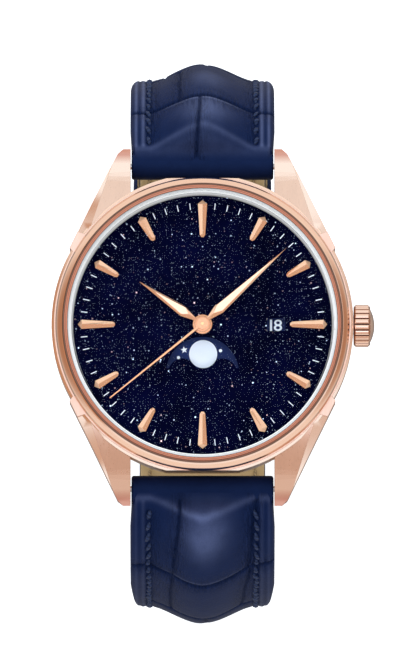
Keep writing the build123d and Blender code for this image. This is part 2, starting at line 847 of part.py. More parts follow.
with BuildPart() as escape_wheel:
    escape_pinion_outline = gear_points(escape_pinion_teeth, fourth_module, escape_angle + 180, False)
    escape_outline = pointed_teeth(escape_teeth, escape_radius - escape_tooth_depth, escape_radius)
    cut_sheet(wheel_at(escape_pinion_outline, escape_place), fourth_wheel_low - running_gap, pinion_thickness)
    cut_sheet(wheel_at(escape_outline, escape_place), escape_low, gear_thickness)
    solid_disc(arbor_low, arbor_high, staff_radius, escape_place)
save(escape_wheel, "escape_wheel")

# Pallet fork: two arms with their stones, and the lever that points at the balance
with BuildPart() as pallet_fork:
    stone_reach = escape_radius + pallet_stone
    for side in (-1, 1):
        stone_x, stone_y = polar(stone_reach, balance_line_angle + side * pallet_arm_spread / 2)
        stone = (escape_place[0] + stone_x, escape_place[1] + stone_y)
        cut_sheet(bar_corners(pallet_place, stone, pallet_width), escape_low, gear_thickness)
        solid_disc(escape_low, escape_low + gear_thickness, pallet_width / 2, stone)
    fork_reach = balance_distance - roller_radius - fork_clearance
    fork_end = (escape_place[0] + fork_reach * line_x, escape_place[1] + fork_reach * line_y)
    cut_sheet(bar_corners(pallet_place, fork_end, pallet_width), escape_low, gear_thickness)
    solid_disc(escape_low, escape_low + gear_thickness, pallet_width, pallet_place)
    solid_disc(escape_low - running_gap, arbor_high, staff_radius, pallet_place)
save(pallet_fork, "pallet_fork")

# Balance wheel with two arms, and its hairspring
with BuildPart() as balance_wheel:
    solid_disc(balance_low, balance_low + balance_thickness, balance_radius, balance_place)
    round_hole(balance_low, balance_low + balance_thickness, balance_radius - balance_rim, [balance_place])
    arm_x, arm_y = polar(balance_radius - balance_rim / 2, balance_line_angle)
    arm_start = (balance_place[0] - arm_x, balance_place[1] - arm_y)
    arm_end = (balance_place[0] + arm_x, balance_place[1] + arm_y)
    cut_sheet(bar_corners(arm_start, arm_end, 2 * balance_rim), balance_low, gear_thickness)
    solid_disc(spring_level - spring_wire, balance_low, collet_radius, balance_place)
    solid_disc(balance_low, escape_low + gear_thickness, roller_radius, balance_place)
    solid_disc(arbor_low, arbor_high, staff_radius, balance_place)
save(balance_wheel, "balance_wheel")

with BuildPart() as hairspring:
    coil_points = []
    with BuildLine(Plane.XY.offset(spring_level)) as coil:
        for half in range(2 * spring_turns):
            radius = spring_inner + half * spring_pitch / 2
            side = 1 if half % 2 == 0 else -1
            middle_x = balance_place[0] if half % 2 == 0 else balance_place[0] - spring_pitch / 2
            start_x = middle_x + side * radius
            bend = ThreePointArc(
                (start_x, balance_place[1]), (middle_x, balance_place[1] + side * radius),
                (middle_x - side * radius, balance_place[1]),
            )
            coil_points += [bend @ (1 - step / spring_steps) for step in range(spring_steps)]
    with BuildSketch(Plane(origin=coil.wire() @ 0, x_dir=(1, 0, 0), z_dir=coil.wire() % 0)):
        Rectangle(spring_wire, spring_ribbon_height)
    sweep(path=coil.wire())
save(hairspring, "hairspring")
coil_spacings = [
    (coil_points[late] - coil_points[early]).length
    for early in range(len(coil_points)) for late in range(early + spring_steps, len(coil_points))
]
print("hairspring's least gap to itself", round(min(coil_spacings) - spring_wire, 3))

# Winding weight
with BuildPart() as rotor:
    rotor_inner = rotor_radius - rotor_rim_width
    with BuildSketch(Plane.XY.offset(rotor_low)):
        Circle(rotor_radius)
        with Locations((0, 2 * rotor_radius)):
            Rectangle(4 * rotor_radius, 4 * rotor_radius, mode=Mode.SUBTRACT)
    extrude(amount=rotor_thickness)
    with BuildSketch(Plane.XY.offset(rotor_low)):
        Circle(rotor_radius)
        Circle(rotor_inner, mode=Mode.SUBTRACT)
        with Locations((0, 2 * rotor_radius)):
            Rectangle(4 * rotor_radius, 4 * rotor_radius, mode=Mode.SUBTRACT)
    extrude(amount=rotor_rim_thickness)
    with BuildSketch(Plane.XY.offset(rotor_low)):
        Circle(rotor_inner * rotor_window_share)
        Circle(rotor_hub_radius + rotor_thickness, mode=Mode.SUBTRACT)
        with Locations((0, 2 * rotor_radius - rotor_hub_radius)):
            Rectangle(4 * rotor_radius, 4 * rotor_radius, mode=Mode.SUBTRACT)
        Rectangle(2 * rotor_rim_thickness, 4 * rotor_radius, mode=Mode.SUBTRACT)
    extrude(amount=rotor_thickness, mode=Mode.SUBTRACT)
    solid_disc(rotor_low, rotor_low + rotor_thickness + layer_gap, rotor_hub_radius)
    round_hole(rotor_low, rotor_low + rotor_rim_thickness, rotor_axle + running_gap, [(0, 0)])
save(rotor, "rotor")

with BuildPart() as rotor_screw:
    solid_disc(back_crystal_thickness + layer_gap, axle_end, rotor_axle + rotor_thickness)
    with BuildSketch(Plane.XY.offset(back_crystal_thickness + layer_gap)):
        Rectangle(4 * rotor_axle, screw_slot)
    extrude(amount=layer_gap, mode=Mode.SUBTRACT)
save(rotor_screw, "rotor_screw")

# Case back: a ring with wrench notches and its window
with BuildPart() as case_back:
    turned((
        (back_crystal_radius, 0), (back_radius - back_bevel, 0), (back_radius, back_bevel),
        (back_radius, case_bottom), (case_bore - sliding_gap, case_bottom),
        (case_bore - sliding_gap, case_bottom + back_spigot), (back_view_radius, case_bottom + back_spigot),
        (back_view_radius, back_crystal_thickness), (back_crystal_radius, back_crystal_thickness),
    ))
    with BuildSketch(Plane.XY):
        with PolarLocations(back_radius, back_notches):
            Circle(notch_radius)
    extrude(amount=notch_depth, mode=Mode.SUBTRACT)
save(case_back, "case_back")

with BuildPart() as back_crystal:
    solid_disc(0, back_crystal_thickness, back_crystal_radius - seat_gap)
save(back_crystal, "back_crystal")

# Crown, stem, tube and sliding clutch on one axis through three o'clock
crown_outline = []
for flute in range(crown_flutes):
    for share, depth in (
        (-flute_edge_share, flute_shoulder_depth), (-flute_ridge_share, 0), (flute_ridge_share, 0),
        (flute_edge_share, flute_shoulder_depth), (0.5, flute_depth),
    ):
        crown_outline.append(polar(crown_radius - depth, (flute + share) * 360 / crown_flutes))
cap_edge = stem_height + crown_cap_radius
with BuildPart() as crown:
    with BuildSketch(Plane.YZ.offset(crown_inner_end)):
        with BuildLine():
            Polyline(*wheel_at(crown_outline, (0, stem_height)), close=True)
        make_face()
    extrude(amount=crown_grip_length)
    with BuildSketch(Plane.XZ):
        with BuildLine():
            Polyline(
                (crown_inner_end, stem_height), (crown_inner_end, stem_height + crown_radius - crown_chamfer),
                (crown_inner_end + crown_chamfer, stem_height + crown_radius),
                (crown_flute_end - crown_chamfer, stem_height + crown_radius),
                (crown_flute_end, stem_height + crown_radius - crown_chamfer), (crown_flute_end, stem_height),
                close=True,
            )
        make_face()
    revolve(axis=Axis((0, 0, stem_height), (1, 0, 0)), mode=Mode.INTERSECT)
    with BuildSketch(Plane.XZ):
        with BuildLine():
            Line((crown_inner_end, stem_height), (crown_outer_end, stem_height))
            TangentArc((crown_outer_end, stem_height), (crown_flute_end, cap_edge), tangent=(0, 1))
            Line((crown_flute_end, cap_edge), (crown_inner_end, cap_edge))
            Line((crown_inner_end, cap_edge), (crown_inner_end, stem_height))
        make_face()
    revolve(axis=Axis((0, 0, stem_height), (1, 0, 0)))
    with BuildSketch(Plane.YZ.offset(crown_inner_end)):
        with Locations((0, stem_height)):
            Circle(crown_tube_radius + sliding_gap)
    extrude(amount=crown_tube_end + sliding_gap - crown_inner_end, mode=Mode.SUBTRACT)
save(crown, "crown")

with BuildPart() as winding_stem:
    with BuildSketch(Plane.YZ.offset(stem_square_end)):
        with Locations((0, stem_height)):
            Circle(stem_radius)
    extrude(amount=crown_tube_end + sliding_gap - stem_square_end)
    with BuildSketch(Plane.YZ.offset(stem_inner_end)):
        with Locations((0, stem_height)):
            Rectangle(stem_square, stem_square)
    extrude(amount=stem_square_end - stem_inner_end)
save(winding_stem, "winding_stem")

with BuildPart() as crown_tube:
    with BuildSketch(Plane.YZ.offset(case_bore)):
        with Locations((0, stem_height)):
            Circle(crown_tube_radius)
            Circle(crown_tube_bore, mode=Mode.SUBTRACT)
    extrude(amount=crown_tube_end - case_bore)
save(crown_tube, "crown_tube")

with BuildPart() as sliding_clutch:
    with BuildSketch(Plane.YZ.offset(clutch_start)):
        with Locations((0, stem_height)):
            Circle(clutch_radius)
            Rectangle(stem_square + sliding_gap, stem_square + sliding_gap, mode=Mode.SUBTRACT)
    extrude(amount=clutch_length)
save(sliding_clutch, "sliding_clutch")

# Spring bars between the lugs
def spring_bar(reach):
    """A bar with a thinner tip at each end, square to the strap."""
    with BuildPart() as bar:
        with BuildSketch(Plane.YZ):
            with Locations((reach, bar_height)):
                Circle(bar_radius)
        extrude(amount=lug_gap / 2 - bar_shoulder_gap, both=True)
        with BuildSketch(Plane.YZ):
            with Locations((reach, bar_height)):
                Circle(bar_tip_radius)
        extrude(amount=lug_gap / 2 + bar_tip_length - sliding_gap, both=True)
    return bar


spring_bar_12 = spring_bar(bar_reach)
save(spring_bar_12, "spring_bar_12")
spring_bar_6 = spring_bar(-bar_reach)
save(spring_bar_6, "spring_bar_6")


# Strap: each half follows a route in the side view, drawn on the twelve o'clock side
def strap_route(tuck, run, corner, tail):
    """The middle line of a strap half: out over the bar, down past its widest, round and in."""
    lean = radians(strap_lean_angle)
    under_turn = 180 - strap_lean_angle - shoulder_turn_angle - side_turn_angle - tuck
    with BuildLine(Plane.YZ) as route:
        last = JernArc(
            start=(bar_reach, bar_height), tangent=(cos(lean), -sin(lean)), radius=shoulder_bend_radius,
            arc_size=-shoulder_turn_angle,
        )
        last = JernArc(start=last @ 1, tangent=last % 1, radius=side_bend_radius, arc_size=-side_turn_angle)
        if tuck:
            last = JernArc(start=last @ 1, tangent=last % 1, radius=corner, arc_size=-tuck)
        last = Line(last @ 1, last @ 1 + (last % 1) * run)
        last = JernArc(start=last @ 1, tangent=last % 1, radius=corner, arc_size=-under_turn)
        if tail:
            Line(last @ 1, last @ 1 + (last % 1) * tail)
    return route.wire()


def strap_plane(route, along):
    """The plane square to a route at a length along it; its own y axis points out of the loop."""
    return Plane(
        origin=route.position_at(along, position_mode=PositionMode.LENGTH), x_dir=(-1, 0, 0),
        z_dir=route.tangent_at(along, position_mode=PositionMode.LENGTH),
    )


def strap_width(along):
    """The strap's width at a length along it: the lugs' first, then narrowing to the buckle's."""
    share = (along - strap_taper_start_length) / (strap_taper_end_length - strap_taper_start_length)
    return strap_lug_width + (strap_end_width - strap_lug_width) * min(1, max(0, share))


def strap_layer(route, stations, inner_margin, low):
    """Lofts one layer: stations give the length along, the height at the edges and in the middle."""
    with BuildPart() as layer:
        for along, edge, middle in stations:
            half = strap_width(along) / 2 - inner_margin
            with BuildSketch(strap_plane(route, along)):
                with BuildLine():
                    Polyline((-half, edge), (-half, low), (half, low), (half, edge))
                    ThreePointArc((half, edge), (0, middle), (-half, edge))
                make_face()
        loft(ruled=True)
    return layer.part


def pad_share(share, end_share):
    """How full the padding is along a half: it swells over the first tenth and thins to nothing."""
    return min(1, share / pad_swell_share) * min(1, max(0, end_share - share) / (end_share - pad_full_share))


def pad_stations(route, end_share):
    """Stations of the padded upper: flat over the bar, full behind the lugs, thin at the end."""
    tab = (strap_fold_radius - 2 * fold_margin, strap_fold_radius - fold_margin)
    stations = [(0, *tab), (strap_fold_length, *tab)]
    for step in range(1, strap_stations + 1):
        share = step / strap_stations
        full = pad_share(share, end_share)
        edge = tail_edge_height + (pad_edge_height - tail_edge_height) * full
        middle = tail_height + (pad_edge_height + pad_crown_height - tail_height) * full
        stations.append((strap_fold_length + share * (route.length - strap_fold_length), edge, middle))
    return stations


upper_route = strap_route(upper_tuck_angle, upper_run_length, upper_corner_radius, 0)
lower_route = strap_route(lower_tuck_angle, lower_run_length, lower_corner_radius, lower_tail_length)
lining_top = strap_lining - strap_back


def strap_upper(route, end_share):
    """The outer leather of one half, folded round its spring bar."""
    leather = strap_layer(route, pad_stations(route, end_share), 0, lining_top)
    with BuildPart() as upper:
        add(leather)
        with BuildSketch(strap_plane(route, 0)):
            with Locations((0, fold_margin - strap_fold_radius)):
                Rectangle(
                    strap_lug_width - 2 * fold_margin, strap_fold_radius, align=(Align.CENTER, Align.MIN)
                )
        extrude(amount=fold_block_length)
        with BuildSketch(Plane.YZ) as fold:
            with Locations((bar_reach, bar_height)):
                Circle(strap_fold_radius)
        extrude(amount=strap_lug_width / 2 - fold_margin, both=True)
        with BuildSketch(Plane.YZ) as eye:
            with Locations((bar_reach, bar_height)):
                Circle(bar_radius + running_gap)
        extrude(amount=lug_gap, both=True, mode=Mode.SUBTRACT)
    return upper.part


def strap_lining_piece(route):
    """The lining of one half, from the fold to the end."""
    flat = (lining_top - 2 * seat_gap, lining_top - seat_gap)
    stations = [(strap_fold_length + seat_gap, *flat)]
    for step in range(1, strap_stations + 1):
        along = strap_fold_length + (route.length - strap_fold_length) * step / strap_stations
        stations.append((along, *flat))
    return strap_layer(route, stations, lining_margin, -strap_back)


upper_leather = strap_upper(upper_route, upper_pad_end_share)
upper_lining = strap_lining_piece(upper_route)
lower_leather = strap_upper(lower_route, lower_pad_end_share)
lower_lining = strap_lining_piece(lower_route)
end_place = upper_route @ 1
end_middle = (tail_height - strap_back) / 2
buckle_bar_z = end_place.Z - end_middle
keeper_plane = strap_plane(upper_route, upper_route.length - free_keeper_inset)
print("lengths of the strap's halves", round(upper_route.length, 2), round(lower_route.length, 2))
print("buckle's axis", end_place.Y, buckle_bar_z, "free keeper's run", keeper_plane.z_dir)

with BuildPart() as strap_upper_12:
    add(upper_leather)
    with BuildSketch(Plane.YZ):
        with Locations((end_place.Y, buckle_bar_z)):
            Circle(buckle_fold_radius)
    extrude(amount=strap_end_width / 2 - fold_margin, both=True)
    with BuildSketch(Plane.YZ):
        with Locations((end_place.Y, buckle_bar_z)):
            Circle(buckle_bar_radius + running_gap)
    extrude(amount=lug_gap, both=True, mode=Mode.SUBTRACT)
    with BuildSketch(Plane.XY.offset(end_place.Z - strap_back)):
        with Locations((0, end_place.Y)):
            Rectangle(tang_slot_width, 2 * buckle_fold_radius + sliding_gap)
    extrude(amount=3 * strap_back, mode=Mode.SUBTRACT)
save(strap_upper_12, "strap_upper_12")

with BuildPart() as strap_lining_12:
    add(upper_lining)
    with BuildSketch(Plane.YZ):
        with Locations((end_place.Y, buckle_bar_z)):
            Circle(buckle_fold_radius + layer_gap)
    extrude(amount=lug_gap, both=True, mode=Mode.SUBTRACT)
save(strap_lining_12, "strap_lining_12")


def mirrored(piece):
    """The same piece on the six o'clock side."""
    return mirror(piece, about=Plane.XZ, mode=Mode.PRIVATE)


def tail_tip():
    """What is cut away to bring the tail to its rounded point."""
    tip = lower_route @ 1
    shoulder_y = tip.Y + tail_tip_length
    bulge = (tail_bulge_width / 2, tip.Y + tail_bulge_length)
    with BuildPart() as waste:
        with BuildSketch(Plane.XY.offset(tip.Z - 2 * strap_back)):
            with Locations((0, tip.Y)):
                Rectangle(lug_gap, 2 * tail_tip_length)
            with BuildLine():
                Line((-strap_end_width / 2, shoulder_y), (strap_end_width / 2, shoulder_y))
                ThreePointArc((strap_end_width / 2, shoulder_y), bulge, (0, tip.Y))
                ThreePointArc((0, tip.Y), (-bulge[0], bulge[1]), (-strap_end_width / 2, shoulder_y))
            make_face(mode=Mode.SUBTRACT)
        extrude(amount=4 * strap_back)
    return waste.part


def tang_hole_cuts():
    """The row of holes along the middle of the tail."""
    with BuildPart() as cuts:
        for hole in range(tang_holes):
            across = strap_plane(lower_route, lower_route.length - tang_hole_start - hole * tang_hole_pitch)
            with BuildSketch(Plane(origin=across.origin, x_dir=across.x_dir, z_dir=across.y_dir)):
                Circle(tang_hole_radius)
            extrude(amount=2 * strap_back, both=True)
    return cuts.part


waste = tail_tip()
holes = tang_hole_cuts()
with BuildPart() as strap_upper_6:
    add(mirrored(lower_leather))
    add(mirrored(waste), mode=Mode.SUBTRACT)
    add(mirrored(holes), mode=Mode.SUBTRACT)
save(strap_upper_6, "strap_upper_6")

with BuildPart() as strap_lining_6:
    add(mirrored(lower_lining))
    add(mirrored(waste), mode=Mode.SUBTRACT)
    add(mirrored(holes), mode=Mode.SUBTRACT)
save(strap_lining_6, "strap_lining_6")


# Keepers: a loop round the strap with room for the tail outside it
def keeper(along, inner_gap):
    """A leather loop centred at a length along the twelve o'clock half."""
    middle = strap_plane(upper_route, along)
    half_width = strap_width(along) / 2 + inner_gap
    low = -strap_back - keeper_bend_gap
    high = tail_height + keeper_room
    with BuildPart() as loop:
        with BuildSketch(middle.offset(-keeper_width / 2)):
            with Locations((0, (low + high) / 2)):
                RectangleRounded(
                    2 * half_width + 2 * keeper_wall, high - low + 2 * keeper_wall, 2 * keeper_wall
                )
                RectangleRounded(2 * half_width, high - low, keeper_wall, mode=Mode.SUBTRACT)
        extrude(amount=keeper_width)
    return loop


fixed_keeper = keeper(upper_route.length - fixed_keeper_inset, sliding_gap)
save(fixed_keeper, "fixed_keeper")
free_keeper = keeper(upper_route.length - free_keeper_inset, 2 * sliding_gap)
save(free_keeper, "free_keeper")

# Buckle: frame, bar and tang at the end of the twelve o'clock half
arm_half = strap_end_width / 2 + sliding_gap
with BuildPart() as buckle_frame:
    with BuildSketch(Plane.XY.offset(buckle_bar_z - buckle_thickness / 2)):
        with Locations((0, end_place.Y + buckle_tail)):
            Rectangle(
                2 * (arm_half + buckle_arm), buckle_reach + buckle_tail, align=(Align.CENTER, Align.MAX)
            )
    extrude(amount=buckle_thickness)
    fillet(buckle_frame.edges().filter_by(Axis.Z), radius=buckle_tail)
    with BuildSketch(Plane.XY.offset(buckle_bar_z - buckle_thickness / 2)):
        with Locations((0, end_place.Y + buckle_tail)):
            Rectangle(
                2 * arm_half, buckle_reach + buckle_tail - buckle_far_bar, align=(Align.CENTER, Align.MAX)
            )
    extrude(amount=buckle_thickness, mode=Mode.SUBTRACT)
    with BuildSketch(Plane.YZ):
        with Locations((end_place.Y, buckle_bar_z)):
            Circle(buckle_bar_radius)
    extrude(amount=lug_gap, both=True, mode=Mode.SUBTRACT)
save(buckle_frame, "buckle_frame")

with BuildPart() as buckle_bar:
    with BuildSketch(Plane.YZ):
        with Locations((end_place.Y, buckle_bar_z)):
            Circle(buckle_bar_radius)
    extrude(amount=arm_half + buckle_arm - sliding_gap, both=True)
save(buckle_bar, "buckle_bar")

with BuildPart() as buckle_tang:
    tang_top = buckle_bar_z - buckle_thickness / 2 - running_gap
    tang_end = end_place.Y - buckle_reach - tang_overhang
    with BuildSketch(Plane.YZ):
        with BuildLine():
            Polyline(
                (end_place.Y, buckle_bar_z), (end_place.Y, buckle_bar_z - tang_ring),
                (end_place.Y - buckle_tail, tang_top - tang_thickness),
                (tang_end, tang_top - tang_thickness / 2), (tang_end, tang_top),
                (end_place.Y - buckle_tail, tang_top),
                (end_place.Y - tang_ring, buckle_bar_z), close=True,
            )
        make_face()
        with Locations((end_place.Y, buckle_bar_z)):
            Circle(tang_ring)
            Circle(buckle_bar_radius + running_gap, mode=Mode.SUBTRACT)
    extrude(amount=tang_width / 2, both=True)
save(buckle_tang, "buckle_tang")
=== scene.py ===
"""Dresses the moon phase watch: leather strap, sparkling dial, polished and brushed metal, light and camera."""

import math
from functools import partialmethod

import bpy
import numpy as np
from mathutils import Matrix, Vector


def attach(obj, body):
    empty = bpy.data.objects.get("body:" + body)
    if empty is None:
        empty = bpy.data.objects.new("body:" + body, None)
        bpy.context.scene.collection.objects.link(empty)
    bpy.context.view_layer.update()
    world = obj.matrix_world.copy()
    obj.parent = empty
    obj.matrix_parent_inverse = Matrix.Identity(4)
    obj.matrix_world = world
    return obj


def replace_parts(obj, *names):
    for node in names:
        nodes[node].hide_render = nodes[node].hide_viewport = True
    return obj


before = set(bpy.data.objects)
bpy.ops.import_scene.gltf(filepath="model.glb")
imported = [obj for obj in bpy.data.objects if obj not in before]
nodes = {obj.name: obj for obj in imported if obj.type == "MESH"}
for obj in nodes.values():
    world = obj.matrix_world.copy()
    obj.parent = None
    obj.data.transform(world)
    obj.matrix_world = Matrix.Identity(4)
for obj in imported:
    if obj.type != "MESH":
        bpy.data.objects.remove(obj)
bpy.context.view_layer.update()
MM = 0.001

# Places shared with the CAD source, in millimetres
DIAL_TOP = 7.6
MOON_AXIS = np.array([0.0, -6.75])
MOON_CENTRE = (0.09, -4.09)
MOON_DISC_TOP = 7.04
DATE_REACH = 10.2
DATE_RING_TOP = 6.8
CROWN_HEIGHT = 5.1
CROWN_GRIP_END = 23.2
BAR_REACH = 22.5
BAR_HEIGHT = 2.4
STRAP_TOP = 1.85
STRAP_BACK = 1.9
LINING_TOP = -0.7
LOWEST = -64.6

# Finishes of the mesh: how near points are welded, in metres, and the angle that keeps an edge sharp
WELD = 1e-6
SHARP = math.radians(32)
MASKS = ("groove", "wrinkle", "coat_and_highlight")


# Node helpers
class Graph:
    """A node tree with short ways to add nodes; a value is a number, a tuple or another node's output."""

    def __init__(self, tree):
        self.tree = tree

    def wire(self, value, socket):
        """Links an output to an input socket, or sets the socket's constant."""
        if isinstance(value, bpy.types.NodeSocket):
            self.tree.links.new(value, socket)
        else:
            socket.default_value = (*value, 1.0) if socket.type == "RGBA" else value

    def add(self, kind, links=None, **settings):
        """A new node's outputs: settings are its own options, links its inputs."""
        made = self.tree.nodes.new("ShaderNode" + kind)
        for name, value in settings.items():
            setattr(made, name, value)
        for socket, value in (links or {}).items():
            self.wire(value, made.inputs[socket])
        return made.outputs

    def found(self, kind):
        """The tree's first node of a kind."""
        return next(node for node in self.tree.nodes if node.type == kind)

    def maths(self, operation, *values, clamp=False):
        """A Math node's output."""
        return self.add("Math", dict(enumerate(values)), operation=operation, use_clamp=clamp)[0]

    times = partialmethod(maths, "MULTIPLY")
    minus = partialmethod(maths, "SUBTRACT")
    times_plus = partialmethod(maths, "MULTIPLY_ADD")

    def vector(self, operation, *values):
        """A Vector Math node's output: a number for a length or a dot product, else a vector."""
        outputs = self.add("VectorMath", dict(enumerate(values)), operation=operation)
        return outputs["Value" if operation in ("LENGTH", "DOT_PRODUCT") else "Vector"]

    def parts(self, vector):
        """A vector's three coordinates."""
        return self.add("SeparateXYZ", {0: vector})

    def radius(self, first, second):
        """The distance from an axis, from the two coordinates across it."""
        return self.vector("LENGTH", self.add("CombineXYZ", {0: first, 1: second})[0])

    def remap(self, value, low, high, to_low=0.0, to_high=1.0, smooth=False):
        """A clamped Map Range of a value."""
        ends = {"Value": value, "From Min": low, "From Max": high, "To Min": to_low, "To Max": to_high}
        return self.add("MapRange", ends, interpolation_type="SMOOTHSTEP" if smooth else "LINEAR")["Result"]

    def noise(self, vector, scale, detail=2.0, **more):
        """A noise texture's strength."""
        return self.add("TexNoise", {"Vector": vector, "Scale": scale, "Detail": detail, **more})["Fac"]

    def blend(self, share, first, second):
        """Two colours mixed by a share."""
        made = self.tree.nodes.new("ShaderNodeMix")
        made.data_type = "RGBA"
        sockets = {socket.identifier: socket for socket in [*made.inputs, *made.outputs]}
        for name, value in (("Factor_Float", share), ("A_Color", first), ("B_Color", second)):
            self.wire(value, sockets[name])
        return sockets["Result_Color"]

    def shaded(self, share, colour, dark):
        """A colour that goes darker, by the given factor, where the share is low."""
        return self.blend(share, [dark * part for part in colour], colour)


SOCKETS = {"VALUE": "NodeSocketFloat", "VECTOR": "NodeSocketVector", "RGBA": "NodeSocketColor"}


def shared(**inputs):
    """Makes a node group in place of a function of a graph, coordinates and these inputs that returns outputs."""
    def register(build):
        tree = bpy.data.node_groups.new(build.__name__, "ShaderNodeTree")
        for label, value in {"Vector": (0.0, 0.0, 0.0), **inputs}.items():
            kind = SOCKETS["VECTOR" if isinstance(value, tuple) else "VALUE"]
            tree.interface.new_socket(name=label, in_out="INPUT", socket_type=kind).default_value = value
        results = build(Graph(tree), *tree.nodes.new("NodeGroupInput").outputs[:len(inputs) + 1])
        for label, value in results.items():
            tree.interface.new_socket(name=label, in_out="OUTPUT", socket_type=SOCKETS[value.type])
        out = tree.nodes.new("NodeGroupOutput").inputs
        for label, value in results.items():
            tree.links.new(value, out[label])
        return tree
    return register


@shared(Roughness=0.1, Spread=0.06)
def polish(net, place, rough, spread):
    """Polished metal: faint hairlines and a slow wander in how sharp the reflections are."""
    hairs = net.noise(net.vector("MULTIPLY", place, (900.0, 9000.0, 2500.0)), 1.0)
    swing = net.times(net.remap(net.noise(place, 420.0, 3.0), 0.3, 0.7), spread)
    return {"Roughness": net.maths("ADD", rough, swing), "Height": net.remap(hairs, 0.35, 0.75)}


@shared(Stretch=(9000.0, 400.0, 9000.0), Roughness=0.3, Spread=0.15)
def brushed(net, place, stretch, rough, spread):
    """Brushed metal: long fine grain along the direction whose scale is smallest."""
    scaled = net.vector("MULTIPLY", place, stretch)
    lines = net.remap(net.noise(scaled, 1.0, 4.0, Roughness=0.65), 0.25, 0.75)
    shade = net.times_plus(net.noise(scaled, 0.17), 0.6, net.times(lines, 0.4))
    return {"Roughness": net.times_plus(lines, spread, rough), "Height": lines, "Shade": shade}


@shared()
def turned(net, place):
    """Coordinates for metal brushed in circles: radius from the dial's axis, and a few slow waves round it."""
    x, y, z = net.parts(place)
    radius = net.radius(x, y)
    waves = net.times(net.maths("ARCTAN2", y, x), 0.001)
    return {"Vector": net.add("CombineXYZ", {0: radius, 1: waves, 2: z})[0], "Radius": radius}


@shared(Scale=1000.0, Size=0.1, Share=0.5)
def sparkle(net, place, scale, size, share):
    """Scattered specks: one chance speck in each cell of a grid, each with its own size, strength and tint."""
    cells = net.add("TexVoronoi", {"Vector": place, "Scale": scale}, voronoi_dimensions="2D")
    chance = net.add("SeparateColor", {0: cells["Color"]})
    reach = net.times(size, net.remap(chance[2], 0.0, 1.0, 0.45, 1.0))
    near = net.minus(1.0, net.maths("DIVIDE", cells["Distance"], reach), clamp=True)
    lit = net.maths("LESS_THAN", chance[0], share)
    mask = net.times(net.times(net.remap(near, 0.0, 0.5), lit), net.maths("POWER", chance[1], 3.2))
    warm = net.maths("GREATER_THAN", chance[2], 0.93)
    return {"Mask": mask, "Tint": net.blend(warm, (0.62, 0.76, 1.0), (1.0, 0.66, 0.70))}


@shared(Wrinkle=0.0, Groove=0.0)
def reptile(net, place, wrinkle, groove):
    """Glossy reptile leather: fine pores, soft creases, short wrinkles where the mask is high, and painted shade in
    its grooves.
    """
    pores = net.add("TexVoronoi", {"Vector": place, "Scale": 3.2}, voronoi_dimensions="2D")["Distance"]
    fine, slow = net.noise(place, 5.0, 4.0), net.noise(place, 0.5, 3.0)
    long = net.noise(net.vector("MULTIPLY", place, (0.45, 3.4, 1.0)), 1.0, 3.0, Distortion=0.6)
    ridge = net.maths("ABSOLUTE", net.minus(long, 0.5))
    crease = net.times(net.remap(ridge, 0.0, 0.06, -1.0, 0.0, smooth=True), wrinkle)
    grain = net.times_plus(pores, 0.25, net.times(fine, 0.5))
    # The shade is a real slow and fine tone, darkened in the grooves as painted shade.
    return {
        "Height": net.times_plus(crease, 2.4, net.times_plus(slow, 1.2, grain)),
        "Shade": net.times_plus(groove, -0.5, net.times_plus(slow, 0.5, net.times(fine, 0.3))),
        "Roughness": net.times_plus(groove, 0.15, net.times_plus(fine, 0.12, 0.33)),
    }


@shared(Pitch=0.0014)
def stripes(net, place, pitch):
    """Broad shallow stripes across a movement's bridges, over a fine grain."""
    x, y, _ = net.parts(place)
    slanted = net.maths("ADD", net.times(x, 0.8), net.times(y, 0.6))
    wave = net.maths("FRACT", net.maths("DIVIDE", slanted, pitch))
    arched = net.times(net.times(wave, net.minus(1.0, wave)), 4.0)
    grain = net.noise(net.vector("MULTIPLY", place, (2600.0, 3400.0, 900.0)), 2.0, 3.0)
    return {"Height": net.times_plus(grain, 0.25, arched), "Shade": arched}


@shared(Scale=900.0)
def spotted(net, place, scale):
    """Overlapping round polishing marks on a movement plate."""
    links = {"Vector": place, "Scale": scale, "Randomness": 0.12}
    away = net.add("TexVoronoi", links, voronoi_dimensions="2D")["Distance"]
    rings = net.maths("SINE", net.times(away, 60.0))
    return {"Height": net.times_plus(rings, 0.2, away), "Shade": net.remap(away, 0.0, 0.7, 1.0, 0.0)}


# Materials
MATERIALS = {}


